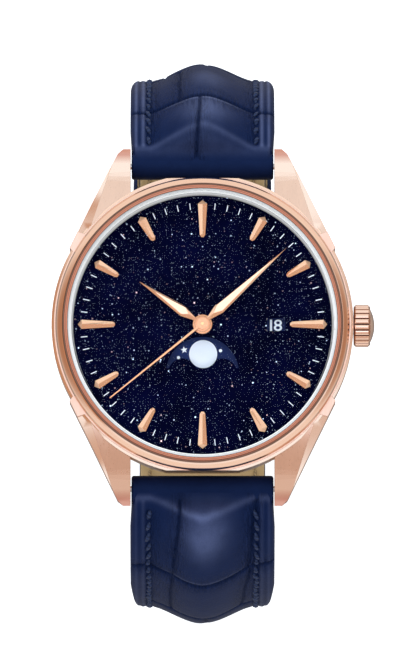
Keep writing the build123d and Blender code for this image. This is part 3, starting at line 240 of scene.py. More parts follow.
class Material(Graph):
    """A material with one Principled shader, entered by its name in the table of materials."""

    def __init__(self, name, **constants):
        made = MATERIALS[name] = bpy.data.materials.new(name)
        made.use_nodes = True
        super().__init__(made.node_tree)
        self.shader = self.found("BSDF_PRINCIPLED")
        places = self.add("TexCoord")
        self.place, self.uv = places["Object"], places["UV"]
        self.feed(**constants)

    def feed(self, **values):
        """Sets or links the shader's inputs, whose names have underscores for spaces here."""
        for socket, value in values.items():
            self.wire(value, self.shader.inputs[socket.replace("_", " ")])

    def grain(self, group, **links):
        """The outputs of a shared group, over the object's coordinates unless others are given."""
        return self.add("Group", {"Vector": self.place, **links}, node_tree=group)

    def rounded(self, edge):
        """The normal over edges rounded by a radius in millimetres."""
        return self.add("Bevel", {"Radius": edge * MM}, samples=4)[0]

    def bump(self, height, distance, strength, edge=0.0):
        """Feeds a height to the shader's normal; distance and rounded edge are in millimetres."""
        links = {"Height": height, "Distance": distance * MM, "Strength": strength}
        if edge:
            links["Normal"] = self.rounded(edge)
        self.feed(Normal=self.add("Bump", links)[0])

    def polish(self, roughness=0.10, spread=0.04, depth=0.0004, edge=0.08):
        """Faint hairlines, and a roughness that wanders."""
        grain = self.grain(polish, Roughness=roughness, Spread=spread)
        self.feed(Roughness=grain["Roughness"])
        self.bump(grain["Height"], depth, 0.4, edge)

    def lined(self, value, radius, lines, least):
        """Darkens a value at turned lines, each a radius and its inner and outer half width in millimetres."""
        for line, inner, outer in lines:
            near = self.maths("ABSOLUTE", self.minus(radius, line * MM))
            value = self.times(value, self.remap(near, inner * MM, outer * MM, least, 1.0))
        return value

    def end(self, surface):
        """Gives the material this surface in place of its plain shader."""
        self.wire(surface, self.found("OUTPUT_MATERIAL").inputs["Surface"])


def polished(name, colour, roughness, edge, spread=0.05):
    """Polished metal with faint hairlines."""
    Material(name, Metallic=1.0, Base_Color=colour).polish(roughness, spread, 0.0005, edge)


def brushed_case(name, colour):
    """Case metal: brushed where it looks up, polished on slanted bevels that carry a painted highlight in a paler
    rose, with painted dark shade along edges and a painted darker reflection at the lug tips.
    """
    made = Material(name, Metallic=1.0)
    geometry = made.add("NewGeometry")
    upward = made.maths("ABSOLUTE", made.parts(geometry["True Normal"])[2])
    slanted = made.times(made.remap(upward, 0.30, 0.34), made.remap(upward, 0.86, 0.90, 1.0, 0.0))
    long = made.grain(brushed, Stretch=(4200.0, 160.0, 4200.0), Roughness=0.24)
    plain = made.grain(polish, Roughness=0.09)
    # Slanted bevels are painted a paler rose: a painted highlight.
    tone = made.blend(slanted, made.shaded(long["Shade"], colour, 0.80), (0.97, 0.725, 0.585))
    # Painted darker reflection in dark copper towards the lug tips.
    along = made.maths("ABSOLUTE", made.parts(made.place)[1])
    tone = made.blend(made.remap(along, 22.7 * MM, 24.0 * MM, 0.0, 0.7), tone, (0.54, 0.15, 0.09))
    # Painted dark shade along edges, where the normal turns away from the rounded one.
    even = made.vector("DOT_PRODUCT", geometry["Normal"], made.rounded(0.09))
    made.feed(
        Roughness=made.remap(slanted, 0.0, 1.0, long["Roughness"], plain["Roughness"]),
        Base_Color=made.blend(made.remap(even, 0.90, 0.985, 0.7, 0.0), tone, (0.36, 0.13, 0.065)),
    )
    made.bump(made.times(long["Height"], made.minus(1.0, slanted)), 0.006, 0.6, 0.08)


def bezel_metal(name, colour):
    """Polished bezel: a painted darker copper reflection on the lip at its inner edge, and dark turned lines of
    painted shade at its grooves.
    """
    made = Material(name, Metallic=1.0)
    radius = made.grain(turned)["Radius"]
    # Painted darker copper reflection on the lip, inside its outer edge.
    tone = made.blend(made.maths("LESS_THAN", radius, 19.28 * MM), colour, (0.40, 0.15, 0.085))
    # Dark turned lines of painted shade at the grooves.
    lines = made.lined(1.0, radius, ((18.72, 0.035, 0.07), (18.98, 0.02, 0.04), (19.33, 0.1, 0.2)), 0.08)
    made.feed(Base_Color=made.blend(lines, (0.10, 0.045, 0.025), tone))
    made.polish()


def crown_metal(name, colour):
    """Polished crown: painted shade darkens its flutes towards their floors, measured from the crown's own axis."""
    made = Material(name, Metallic=1.0)
    x, y, z = made.parts(made.vector("SUBTRACT", made.place, (0.0, 0.0, CROWN_HEIGHT * MM)))
    on_grip = made.maths("LESS_THAN", x, CROWN_GRIP_END * MM)
    # Painted shade in the flutes.
    flute_shade = made.times(made.remap(made.radius(y, z), 2.70 * MM, 2.90 * MM, 1.0, 0.0), on_grip)
    made.feed(Base_Color=made.blend(flute_shade, colour, (0.20, 0.075, 0.035)))
    made.polish()


def turned_metal(name, colour, roughness, edge=0.03, depth=0.004):
    """Metal brushed in circles round the dial's axis."""
    made = Material(name, Metallic=1.0)
    circles = made.grain(turned)["Vector"]
    stretch = (14000.0, 1500.0, 4000.0)
    grain = made.grain(brushed, Vector=circles, Stretch=stretch, Roughness=roughness, Spread=0.14)
    made.feed(Roughness=grain["Roughness"], Base_Color=made.shaded(grain["Shade"], colour, 0.84))
    made.bump(grain["Height"], depth, 0.6, edge)


def ring_paint(name):
    """Pale satin ring round the dial: fine turned lines, painted shade where it meets the dial, and a faint glow of
    painted light.
    """
    made = Material(name, Roughness=0.42, Specular_IOR_Level=0.3, Emission_Strength=0.26)
    radius = made.grain(turned)["Radius"]
    lines = [(line, 0.012, 0.03) for line in (18.15, 18.30, 18.42)]
    shade = made.lined(made.remap(radius, 17.95 * MM, 18.14 * MM, 0.30, 0.95), radius, lines, 0.45)
    colour = made.blend(shade, (0.02, 0.02, 0.025), (0.92, 0.92, 0.90))
    # The ring glows faintly in its own colour: painted light.
    made.feed(Base_Color=colour, Emission_Color=colour)


def marked_metal(name, colour, pattern, dark=0.72, roughness=0.26, depth=0.03, strength=0.5, edge=0.05, **links):
    """Movement metal with broad stripes or small round polishing marks."""
    made = Material(name, Metallic=1.0, Roughness=roughness)
    grain = made.grain(pattern, **links)
    made.feed(Base_Color=made.shaded(grain["Shade"], colour, dark))
    made.bump(grain["Height"], depth, strength, edge)


def leather(name, colour, pale):
    """Glossy embossed leather that reads the strap's own coordinates and masks; its grooves are darkened as painted
    shade, and a painted highlight lightens it to a pale blue where the highlight mask is high.
    """
    made = Material(
        name, Specular_IOR_Level=0.05, Specular_Tint=(0.45, 0.68, 1.0), Coat_Roughness=0.32, Coat_IOR=1.3
    )
    groove, wrinkle, coat_and_highlight = (made.add("Attribute", attribute_name=mask)["Fac"] for mask in MASKS)
    grain = made.grain(reptile, Vector=made.uv, Wrinkle=wrinkle, Groove=groove)
    tone = made.blend(grain["Shade"], colour, pale)
    # Painted highlight: a paler blue where the highlight mask is high, more on lighter grain.
    painted_highlight = made.times(made.maths("POWER", coat_and_highlight, 1.5), made.remap(grain["Shade"], 0.1, 0.6, 0.35, 0.9))
    made.feed(
        Coat_Weight=made.times(coat_and_highlight, 0.45), Roughness=grain["Roughness"],
        Base_Color=made.blend(painted_highlight, tone, (0.115, 0.145, 0.29)),
    )
    made.bump(grain["Height"], 0.07, 0.75)


def smooth_leather(name, colour, pale):
    """Matt lining leather with fine grain."""
    made = Material(name, Specular_IOR_Level=0.3)
    pores = made.add("TexVoronoi", {"Vector": made.place, "Scale": 3200.0})["Distance"]
    slow = made.noise(made.place, 300.0, 5.0)
    made.feed(
        Base_Color=made.blend(made.remap(slow, 0.3, 0.7), colour, pale),
        Roughness=made.remap(slow, 0.3, 0.7, 0.6, 0.75),
    )
    made.bump(made.times_plus(pores, 0.6, slow), 0.04, 0.5)


def thread(name, colour):
    """Waxed thread: two plies twisted along the stitch."""
    made = Material(name, Roughness=0.42, Specular_IOR_Level=0.3, Specular_Tint=(0.6, 0.76, 1.0))
    links = {"Vector": made.uv, "Scale": 1.0, "Distortion": 0.4, "Detail": 1.0}
    ply = made.add("TexWave", links, bands_direction="DIAGONAL")["Fac"]
    made.feed(Base_Color=made.shaded(ply, colour, 0.5))
    made.bump(ply, 0.05, 0.6)


def star_glass(name):
    """Night-blue aventurine: specks of three sizes in near-black glass, as scale, size, share and gain; the specks
    also glow as painted glints.
    """
    made = Material(name, Roughness=0.3, Specular_IOR_Level=0.0, Emission_Strength=1.3)
    cloud = made.remap(made.noise(made.place, 160.0, 3.0), 0.35, 0.7)
    night = made.blend(cloud, (0.0007, 0.0010, 0.0085), (0.0012, 0.0018, 0.020))
    glow = (0.0, 0.0, 0.0)
    for scale, size, share, gain in (
        (3000.0, 0.20, 0.45, 0.38), (1350.0, 0.12, 0.30, 0.85), (620.0, 0.085, 0.6, 1.3),
    ):
        layer = made.grain(sparkle, Scale=scale, Size=size, Share=share)
        mask = made.times(layer["Mask"], gain)
        night, glow = (made.blend(mask, below, layer["Tint"]) for below in (night, glow))
    # The specks glow in their tint: painted glints.
    made.feed(Base_Color=night, Emission_Color=glow)


def lacquer(name, colour, pale, roughness=0.35):
    """Lacquered surface with a slow wander in tone."""
    made = Material(name, Specular_IOR_Level=0.12)
    cloud, fine = made.noise(made.place, 260.0, 4.0), made.noise(made.place, 5200.0)
    made.feed(
        Base_Color=made.blend(made.remap(cloud, 0.3, 0.7), colour, pale),
        Roughness=made.times_plus(fine, 0.1, roughness),
    )
    made.bump(fine, 0.001, 0.3)


def clear_glass(name):
    """Coated crystal: light for the shadows passes straight through it."""
    made = Material(name, Base_Color=(1.0, 1.0, 1.0), Transmission_Weight=1.0, IOR=1.05, Specular_IOR_Level=0.5)
    made.feed(Roughness=made.remap(made.noise(made.place, 120.0, 3.0), 0.4, 0.8, 0.0, 0.002))
    path = made.add("LightPath")
    skip = made.maths("MAXIMUM", path["Is Shadow Ray"], path["Is Diffuse Ray"])
    clear = made.add("BsdfTransparent")[0]
    made.end(made.add("MixShader", {0: skip, 1: made.shader.outputs[0], 2: clear})[0])


ROSE = (0.90, 0.60, 0.45)
brushed_case("rose_satin", ROSE)
bezel_metal("rose_bezel", ROSE)
crown_metal("rose_crown", ROSE)
polished("rose_polish", ROSE, 0.10, 0.08)
polished("rose_facet", (0.93, 0.56, 0.36), 0.09, 0.0, 0.03)
polished("steel", (0.60, 0.60, 0.61), 0.14, 0.03)
polished("brass_polish", (0.88, 0.66, 0.32), 0.12, 0.03)
polished("blued", (0.03, 0.055, 0.24), 0.14, 0.02)
turned_metal("rose_turned", ROSE, 0.22)
turned_metal("rose_deep", (0.80, 0.385, 0.21), 0.14, depth=0.0015)
turned_metal("steel_turned", (0.55, 0.55, 0.56), 0.28)
turned_metal("brass_turned", (0.86, 0.64, 0.30), 0.2, edge=0.02)
marked_metal("bridge", (0.72, 0.71, 0.69), stripes, Pitch=1.5 * MM)
marked_metal("rotor", (0.88, 0.58, 0.42), stripes, Pitch=1.9 * MM)
marked_metal("plate", (0.64, 0.63, 0.60), spotted, 0.7, 0.28, 0.02, 0.4, 0.04)
ring_paint("silver_ring")
leather("leather_navy", (0.0035, 0.0085, 0.036), (0.0085, 0.018, 0.068))
smooth_leather("lining_tan", (0.42, 0.285, 0.135), (0.48, 0.33, 0.165))
thread("thread", (0.017, 0.028, 0.080))
thread("thread_tan", (0.40, 0.27, 0.13))
star_glass("dial_night")
lacquer("edge_navy", (0.006, 0.011, 0.036), (0.010, 0.018, 0.055), 0.45)
lacquer("ink_white", (0.82, 0.88, 0.98), (0.88, 0.93, 1.0), 0.5)
lacquer("date_navy", (0.003, 0.008, 0.052), (0.0045, 0.012, 0.075))
lacquer("moon_sky", (0.004, 0.011, 0.062), (0.0075, 0.020, 0.100))
lacquer("moon_face", (0.70, 0.76, 0.86), (0.78, 0.83, 0.91), 0.5)
lacquer("jewel", (0.45, 0.004, 0.03), (0.60, 0.01, 0.06), 0.08)
lacquer("gasket", (0.86, 0.86, 0.84), (0.92, 0.92, 0.90), 0.5)
clear_glass("crystal")

FINISHES = {
    "rose_satin": "case_middle", "rose_bezel": "bezel", "rose_crown": "crown", "rose_turned": "case_back",
    "rose_polish": "buckle_frame buckle_tang", "rose_facet": "hour_markers hour_hand minute_hand",
    "rose_deep": "seconds_hand", "silver_ring": "dial_flange", "dial_night": "dial", "date_navy": "date_ring",
    "moon_sky": "moon_disc", "crystal": "crystal back_crystal", "gasket": "crystal_gasket", "jewel": "jewels",
    "steel": "cannon_pinion barrel_arbor escape_wheel pallet_fork winding_stem crown_tube sliding_clutch"
             " spring_bar_12 spring_bar_6 buckle_bar",
    "steel_turned": "movement_holder", "brass_polish": "balance_wheel",
    "brass_turned": "minute_wheel hour_wheel barrel centre_wheel third_wheel fourth_wheel",
    "bridge": "train_bridge barrel_bridge balance_cock", "plate": "main_plate", "rotor": "rotor",
    "blued": "bridge_screws hairspring rotor_screw",
}


def dress(mesh, finish, smooth=True):
    """Gives a mesh one material, and smooth or flat faces."""
    mesh.materials.clear()
    mesh.materials.append(MATERIALS[finish])
    mesh.polygons.foreach_set("use_smooth", np.full(len(mesh.polygons), smooth))


for finish, names in FINISHES.items():
    for name in names.split():
        dress(nodes[name].data, finish)
        nodes[name].modifiers.new("weld", "WELD").merge_threshold = WELD
        nodes[name].modifiers.new("split", "EDGE_SPLIT").split_angle = SHARP


# Mesh helpers
def placed(name, data, body=None):
    """A new object in the scene, on its body where it has one."""
    made = bpy.data.objects.new(name, data)
    bpy.context.scene.collection.objects.link(made)
    if body:
        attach(made, body)
    return made


def mesh_object(name, shape, finish, body=None, smooth=True):
    """A finished piece from points in millimetres, faces and perhaps values at the points: uv and then masks."""
    points, faces, *more = shape
    mesh = bpy.data.meshes.new(name)
    mesh.from_pydata((np.asarray(points) * MM).tolist(), [], [list(map(int, face)) for face in faces])
    mesh.validate()
    dress(mesh, finish, smooth)
    for values in more:
        corners = np.zeros(len(mesh.loops), np.int32)
        mesh.loops.foreach_get("vertex_index", corners)
        layer = mesh.uv_layers.new(name="along_across")
        layer.data.foreach_set("uv", values[corners, :2].astype(np.float32).ravel())
        for label, mask in zip(MASKS, values.T[2:]):
            mesh.attributes.new(label, "FLOAT", "POINT").data.foreach_set("value", mask.astype(np.float32))
    return placed(name, mesh, body)


def grid_faces(rows, columns, loop=False):
    """Quads over a grid whose columns close on themselves; in a loop its rows do so too."""
    row, column = np.meshgrid(np.arange(rows if loop else rows - 1), np.arange(columns), indexing="ij")
    after, below = (column + 1) % columns, (row + 1) % rows
    corners = (row * columns + column, row * columns + after, below * columns + after, below * columns + column)
    return np.stack(corners, -1).reshape(-1, 4)


def ring_faces(rows, columns, flip=False):
    """Quads over a grid whose columns close on themselves, with both ends capped by one face each."""
    ends = np.arange(columns)[::-1], (rows - 1) * columns + np.arange(columns)
    faces = grid_faces(rows, columns).tolist() + [end.tolist() for end in ends]
    return [face[::-1] for face in faces] if flip else faces


def stacked(pieces):
    """Several shapes of points, faces and perhaps values at the points, as one."""
    points, faces, *values = zip(*pieces)
    starts = np.cumsum([0, *map(len, points)])
    faces = [[corner + start for corner in face] for start, found in zip(starts, faces) for face in found]
    return (np.concatenate(points), faces, *map(np.concatenate, values))


def grid(*places):
    """One row of coordinates for every place of the grid that the given arrays spread over."""
    return np.stack(np.broadcast_arrays(*places), -1).reshape(-1, len(places))


def circle(count):
    """Equal angles round a full circle."""
    return np.linspace(0, 2 * math.pi, count + 1)[:-1]


def held(value):
    """The value held between nought and one."""
    return np.clip(value, 0, 1)


def ease(value):
    """Nought to one with level ends."""
    value = held(value)
    return value * value * (3 - 2 * value)


def bell(value, power=2):
    """One at nought, falling away on both sides."""
    return np.exp(-(value ** power))


def cut_out(target, cutter):
    """Cuts one mesh out of another for good and removes the cutter."""
    tool = target.modifiers.new("cut", "BOOLEAN")
    tool.operation, tool.object, tool.solver = "DIFFERENCE", cutter, "EXACT"
    graph = bpy.context.evaluated_depsgraph_get()
    target.data = bpy.data.meshes.new_from_object(target.evaluated_get(graph))
    target.modifiers.clear()
    bpy.data.objects.remove(cutter)


# The strap
class Half:
    """One half of the strap, along a middle line of arcs (turn, radius) and runs (0, length) as in the CAD source."""

    def __init__(self, side, arcs, lean=12.0, step=0.02):
        self.side, self.buckled = side, side > 0
        lengths, slopes = [np.zeros(1)], [np.full(1, -math.radians(lean))]
        for turn, size in arcs:
            length = math.radians(turn) * size if turn else size
            local = np.linspace(0, length, max(2, int(length / step)))[1:]
            lengths.append(lengths[-1][-1] + local)
            slopes.append(slopes[-1][-1] - (local / size if turn else 0 * local))
        self.length, slope = np.concatenate(lengths), np.concatenate(slopes)
        self.total = self.length[-1]
        middle, gap = (slope[1:] + slope[:-1]) / 2, np.diff(self.length)
        reach = BAR_REACH + np.concatenate([[0], np.cumsum(np.cos(middle) * gap)])
        height = BAR_HEIGHT + np.concatenate([[0], np.cumsum(np.sin(middle) * gap)])
        self.lines = reach, height, slope

    def on(self, along, across, out):
        """Points at a length along the half, a distance across it and a height out of its middle line."""
        reach, height, slope = (np.interp(along, self.length, line) for line in self.lines)
        return grid(across, self.side * (reach - out * np.sin(slope)), height + out * np.cos(slope))

    def width(self, along):
        """Half its width: a fit between the lugs, full behind them, narrow at the buckle."""
        wide = 9.88 + 0.17 * held((along - 2.5) / 3.0)
        width = wide + (9.0 - wide) * held((along - 20.0) / 25.0)
        if self.buckled:
            return width
        tip = held((self.total - along) / 9.0)
        return width * np.maximum(1 - (1 - tip) ** 2, 1e-4) ** 0.72


HALVES = {
    "12": Half(1.0, [(60, 15), (24, 52), (12, 16), (0, 14), (72, 16)]),
    "6": Half(-1.0, [(60, 15), (24, 52), (0, 18), (84, 17), (0, 19.4)]),
}
PAD = 7.3
STITCH_LINE = 7.5


def distance_to_line(along, across, line):
    """How far each point is from a polyline of (along, across) corners."""
    nearest = np.full(np.broadcast(along, across).shape, 1e9)
    for (a0, c0), (a1, c1) in zip(line[:-1], line[1:]):
        da, dc = a1 - a0, c1 - c0
        share = held(((along - a0) * da + (across - c0) * dc) / (da * da + dc * dc + 1e-12))
        nearest = np.minimum(nearest, np.hypot(along - a0 - share * da, across - c0 - share * dc))
    return nearest


def arch(start, middle, half=PAD, bend=0.0):
    """A line right across the pad, from the edges' length along to the middle's."""
    across = np.linspace(-half, half, 13)
    return [(middle + (start - middle) * (c / half) ** 2 + bend * math.sin(c * 1.1), c) for c in across]


# Where the first scales end, along the edges and along the middle of each half
FIRST_SCALE = {"12": (8.5, 9.4), "6": (12.1, 13.5)}

# Grooves between the scales, as (length along, distance across); the first ones are those in view
GROOVES = {
    "12": [
        arch(*FIRST_SCALE["12"]), [(9.4, -3.0), (13, -3.2), (17, -3.0), (22.7, -3.3)],
        [(-1.5, -0.9), (2.5, -0.75), (5.5, -0.5), (9.4, -0.3)], [(8.3, -9.9), (8.4, -7.9)], [(8.5, 7.9), (8.2, 9.9)],
        arch(21.6, 22.8, bend=0.2), [(22.8, 0.8), (26, 0.4), (31.5, 0.9)], [(22.6, -5.0), (26, -5.3), (31.5, -4.9)],
        arch(31.0, 31.9, bend=-0.2), [(31.9, -2.2), (37, -2.6), (42, -2.1)], [(31.9, 4.4), (37, 4.2), (42, 4.6)],
        arch(41.2, 42.0, bend=0.15), [(42, 0.5), (47, 0.2), (52, 0.6)], arch(51.4, 52.1), [(52, -3.2), (61, -3.0)],
        [(52, 3.4), (61, 3.2)], arch(60.8, 61.3), [(61.3, 0.2), (72, 0.0)],
    ],
    "6": [
        arch(*FIRST_SCALE["6"]), [(1.3, -3.1), (4.0, -3.3), (8.0, -3.7), (13.3, -4.25)],
        [(-0.6, 7.3), (1.0, 7.6), (3.2, 7.1), (7.5, 6.8), (12.4, 6.3)], [(13.5, -4.2), (19, -4.5), (27.3, -4.4)],
        [(13.0, 6.6), (18, 6.0), (27.2, 5.4)], [(12.2, -9.9), (12.0, -7.9)], [(12.0, 7.9), (11.2, 9.9)],
        arch(26.8, 27.8, bend=0.2), [(27.8, 0.3), (31, 0.7), (35.5, 0.2)], arch(34.8, 35.8, bend=-0.15),
        [(35.8, -3.2), (40, -3.0), (46, -3.4)], [(35.8, 3.5), (40, 3.8), (46, 3.4)], arch(45.4, 46.2),
        [(46.2, 0.5), (51, 0.2), (56, 0.5)], arch(55.3, 56.1, bend=0.15), [(56, -3.0), (65, -3.1)],
        [(56, 3.3), (65, 3.0)], arch(64.6, 65.2), [(65.2, 3.0), (75, 3.2)], [(65.2, -3.1), (75, -2.9)],
        arch(74.6, 75.1), [(75, -3.0), (84, -2.6)], [(75, 3.0), (84, 2.7)], arch(84.0, 84.4, half=6.8),
    ],
}


def leather_height(name, along, across):
    """Height of the outer leather over its middle line, and the masks of its grooves, which get painted shade, its
    wrinkles, and its coat gloss with painted highlight.
    """
    half = HALVES[name]
    buckled, total, width, aside = half.buckled, half.total, half.width(along), np.abs(across)

    # The padded crown: it rises behind the fold, is full under the first scales and fades towards the end
    inner = held(aside / (STITCH_LINE - 0.25))
    bowed = 1 - inner ** 1.2
    ramp_end = 2.0 + 2.3 * bowed if buckled else 0.9 + 2.0 * bowed
    ramp = held((along - 0.4) / (ramp_end - 0.4)) ** 0.9
    fade_end = (0.6 if buckled else 0.8) * total
    fullness = ease((fade_end - along) / (fade_end - 0.3 * total))
    crown = ramp * (0.35 + 2.15 * fullness) * (1 - inner ** 1.7) ** 1.6
    height = 0.45 + 0.35 * fullness + 0.75 * (1 - ease((along - 2.0) / 9.0)) + crown
    height += (STRAP_TOP - 0.02 - height) * (1 - ease((along - 0.2) / 2.4))

    # The stitched channel, the line along the rim, the grooves and the thinned end under the tang
    channel = bell((aside - STITCH_LINE) / 0.42) * ease((along - 2.2) / 0.6)
    height -= 0.32 * channel * held((total - along) / 2)
    height -= 0.12 * bell((aside - 8.75) / 0.16) * ease(along - 2.6) * (width > 9.3)
    far = np.array([distance_to_line(along, across, line) for line in GROOVES[name]])
    groove = bell(far.min(0) / 0.24)
    height -= 0.10 * bell(far / 1.1).sum(0) * (along > 1) + 0.24 * groove
    near_stitch = bell((aside - 6.9) / 0.9) * ease(along - 2.2)
    wrinkle = held(0.85 * bell(far.min(0) / 1.3) + 0.8 * near_stitch)
    height -= 0.4 * buckled * ease((along - total + 4.0) / 2.0) * bell(across / 1.6, 4)

    # The sides are rounded down to a low edge
    edge, low = held((aside - (width - 0.95)) / 0.95), -0.15
    height = low + (height - low) * np.sqrt(np.maximum(1 - edge ** 2, 0))

    # Coat gloss and painted highlight where light catches the leather: the fold, the first scale's brow and lip, the
    # crown and the rims
    sides, middle = FIRST_SCALE[name]
    beyond = along - middle - (sides - middle) * (across / PAD) ** 2
    pad = ease((7.6 - aside) / 1.2)
    ridge = 0.45 * bell((along - ramp_end) / 0.5) * (aside < width - 0.5)
    lip = 0.5 * bell((beyond + 0.45) / 0.22) * pad * ease((6.8 - aside) / 3)
    streak = held(np.sin(7.3 * across + 1.7 * np.sin(2.9 * across) + 0.5 * along)) ** 2
    streak = streak * bell((beyond + 1.3) / 0.9) * pad * buckled
    height += (0.05 * lip - 0.06 * streak) * (edge <= 0)
    brow, reach = (beyond + 2.4, 2.3) if buckled else (along - ramp_end - 2.6, 3.6)
    crest = bell(brow / reach) * bell((across - 0.4) / 3.3)
    scale = 0.45 * buckled * bell((beyond - 4.2) / 3.0) * bell((across - 0.8) / 2.7)
    # Painted highlight on the crown further along the strap.
    crown_highlight = 0.25 * (crown / 2.5) ** 1.4 * ease((along - 27) / 8)
    plate = (0.3 if buckled else 0.1) * ease((ramp_end - along) / 1.2) * ease((along - 0.2) / 1.6)
    bands = bell((aside - 8.25) / 0.3) + bell((aside - 9.25) / 0.25)
    piping = (0.7 if buckled else 0.25) * bands * ease((along - ramp_end) / 0.6)
    coat_and_highlight = plate + 0.8 * crest * (1 - 0.45 * streak) + scale + ridge + lip + crown_highlight + piping
    coat_and_highlight = held(coat_and_highlight) * (1 - 0.7 * groove)
    return height, held(groove + 0.5 * channel), wrinkle, coat_and_highlight


def leather_upper(name, columns=120):
    """The outer leather of one half: rings over the top from left to right, then back underneath."""
    half = HALVES[name]
    fine_end, step = 26, 0.22 if half.buckled else 0.25
    rest = np.linspace(fine_end, half.total, int((half.total - fine_end) / 0.42))[1:]
    along = np.concatenate([np.linspace(0, fine_end, int(fine_end / step)), rest])[:, None]
    bent = np.sin(np.linspace(-math.pi / 2, math.pi / 2, columns))
    top_shares = 0.35 * bent + 0.65 * np.linspace(-1, 1, columns)
    shares = np.concatenate([top_shares, np.linspace(0.985, -0.985, 14)])
    across = half.width(along) * shares
    top, *masks = leather_height(name, along, across)
    is_top = np.arange(len(shares)) < columns
    under = 0.9 + (LINING_TOP - 0.9) * ease((along - 0.6) / 2.0)
    side = held((np.abs(shares) - 0.95) / 0.05)
    points = half.on(along, across, np.where(is_top, top, under + 0.1 * side))
    values = grid(along, across + 30 * half.buckled, *(np.where(is_top, mask, 0) for mask in masks))
    return points, ring_faces(*across.shape, flip=half.buckled), values


def leather_fold(half, inner=0.82, half_length=9.86, corner=0.35):
    """The leather folded round the spring bar, its ends rounded over: a closed profile turned about the bar."""
    turn, quarter = circle(48)[:, None], np.linspace(0, math.pi / 2, 6)
    end, top = half_length - corner, STRAP_TOP - corner
    right = grid(end + corner * np.sin(quarter), top + corner * np.cos(quarter))
    left = right[::-1] * (-1, 1)
    outside = [(x, STRAP_TOP) for x in np.linspace(-end, end, 40)[1:-1]]
    x, radius = np.concatenate([right, [(half_length, inner), (-half_length, inner)], left, outside]).T
    points = grid(x, half.side * (BAR_REACH + radius * np.cos(turn)), BAR_HEIGHT + radius * np.sin(turn))
    faces = grid_faces(len(turn), len(x), loop=True)
    values = grid(-turn * STRAP_TOP, x + 30 * half.buckled, 0, 0, 0)
    return points, (faces[:, ::-1] if half.buckled else faces).tolist(), values


def lining(half, corner=0.35):
    """The lining of one half: a flat layer with rounded lower edges."""
    along = np.linspace(2.75, half.total, int(half.total / 0.8))[:, None]
    quarter = np.linspace(0, math.pi / 2, 5)
    inward = np.append(corner * np.sin(quarter) - corner, 0)
    level = np.append(corner - STRAP_BACK - corner * np.cos(quarter), LINING_TOP - 0.02)
    sign = np.repeat([1, -1], len(level))
    inward, level = (np.concatenate([line, line[::-1]]) for line in (inward, level))
    width = np.maximum(half.width(along) - 0.12, 0.05)
    across = sign * np.maximum(width + inward, 0.02)
    return half.on(along, across, level), ring_faces(*across.shape, not half.buckled), grid(along, across)


def stitches(half, out_of, lift, first, last, pitch, radius, slant):
    """Two rows of slanted stitches: short tubes whose ends dive into the leather."""
    chance = np.random.default_rng(7 if half.buckled else 11)
    sides, rings = 8, 9
    turn, share = circle(sides), np.linspace(0, 1, rings)[:, None]
    bow = np.sin(share * math.pi)
    tubes = []
    for side in (-1, 1):
        for start in np.arange(first, last, pitch):
            wander = chance.normal(0, 0.07, 3)
            tilt = slant * (1 + chance.normal(0, 0.35))
            along = start + share * pitch * (0.92 + wander[0])
            across = side * STITCH_LINE + (share - 0.5) * tilt * side + wander[1]
            centre = out_of(along, across) + lift * bow - radius * 0.9 * (1 - bow)
            size = radius * (0.55 + 0.45 * bow) * (1 + wander[2])
            tube = half.on(along, across + size * np.cos(turn), centre + size * np.sin(turn))
            wound = grid(share * 2.2, turn / 6.28 * 1.2 + start)
            tubes.append((tube, ring_faces(rings, sides, not half.buckled), wound))
    return stacked(tubes)


def tang_hole_cutter(half, holes=6, count=24):
    """Upright tubes along the tail, one for each tang hole."""
    turn, tubes = circle(count), []
    for hole in range(holes):
        near = half.total - 22.0 - hole * 6.5 + np.array([-0.05, 0.0, 0.05])
        ends = []
        for out in (-3.5, 4.0):
            before, middle, after = half.on(near, 0.0, out)
            forward = (after - before) / np.linalg.norm(after - before)
            ends.append(middle + 0.85 * (np.outer(np.cos(turn), (1, 0, 0)) + np.outer(np.sin(turn), forward)))
        tubes.append((np.concatenate(ends), ring_faces(2, count)))
    return mesh_object("cutter", stacked(tubes), "edge_navy")


for name, half in HALVES.items():
    body = f"strap_{name}"
    outer = stacked([leather_upper(name), leather_fold(half)])
    upper = mesh_object(f"leather_{name}", outer, "leather_navy", body)
    under = mesh_object(f"lining_{name}", lining(half), "lining_tan", body)
    if name == "6":
        for piece in (upper, under):
            cut_out(piece, tang_hole_cutter(half))
    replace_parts(upper, f"strap_upper_{name}")
    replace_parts(under, f"strap_lining_{name}")
    last = half.total - (9.5 if half.buckled else 13.0)
    front = stitches(half, lambda a, c, n=name: leather_height(n, a, c)[0], 0.17, 2.5, last, 1.7, 0.35, 0.5)
    back = stitches(half, lambda a, c: -STRAP_BACK + 0 * a, -0.10, 4.0, last, 1.75, 0.22, 0.2)
    for label, colour, rows in (("stitches", "thread", front), ("back_stitches", "thread_tan", back)):
        mesh_object(f"{label}_{name}", rows, colour, body)


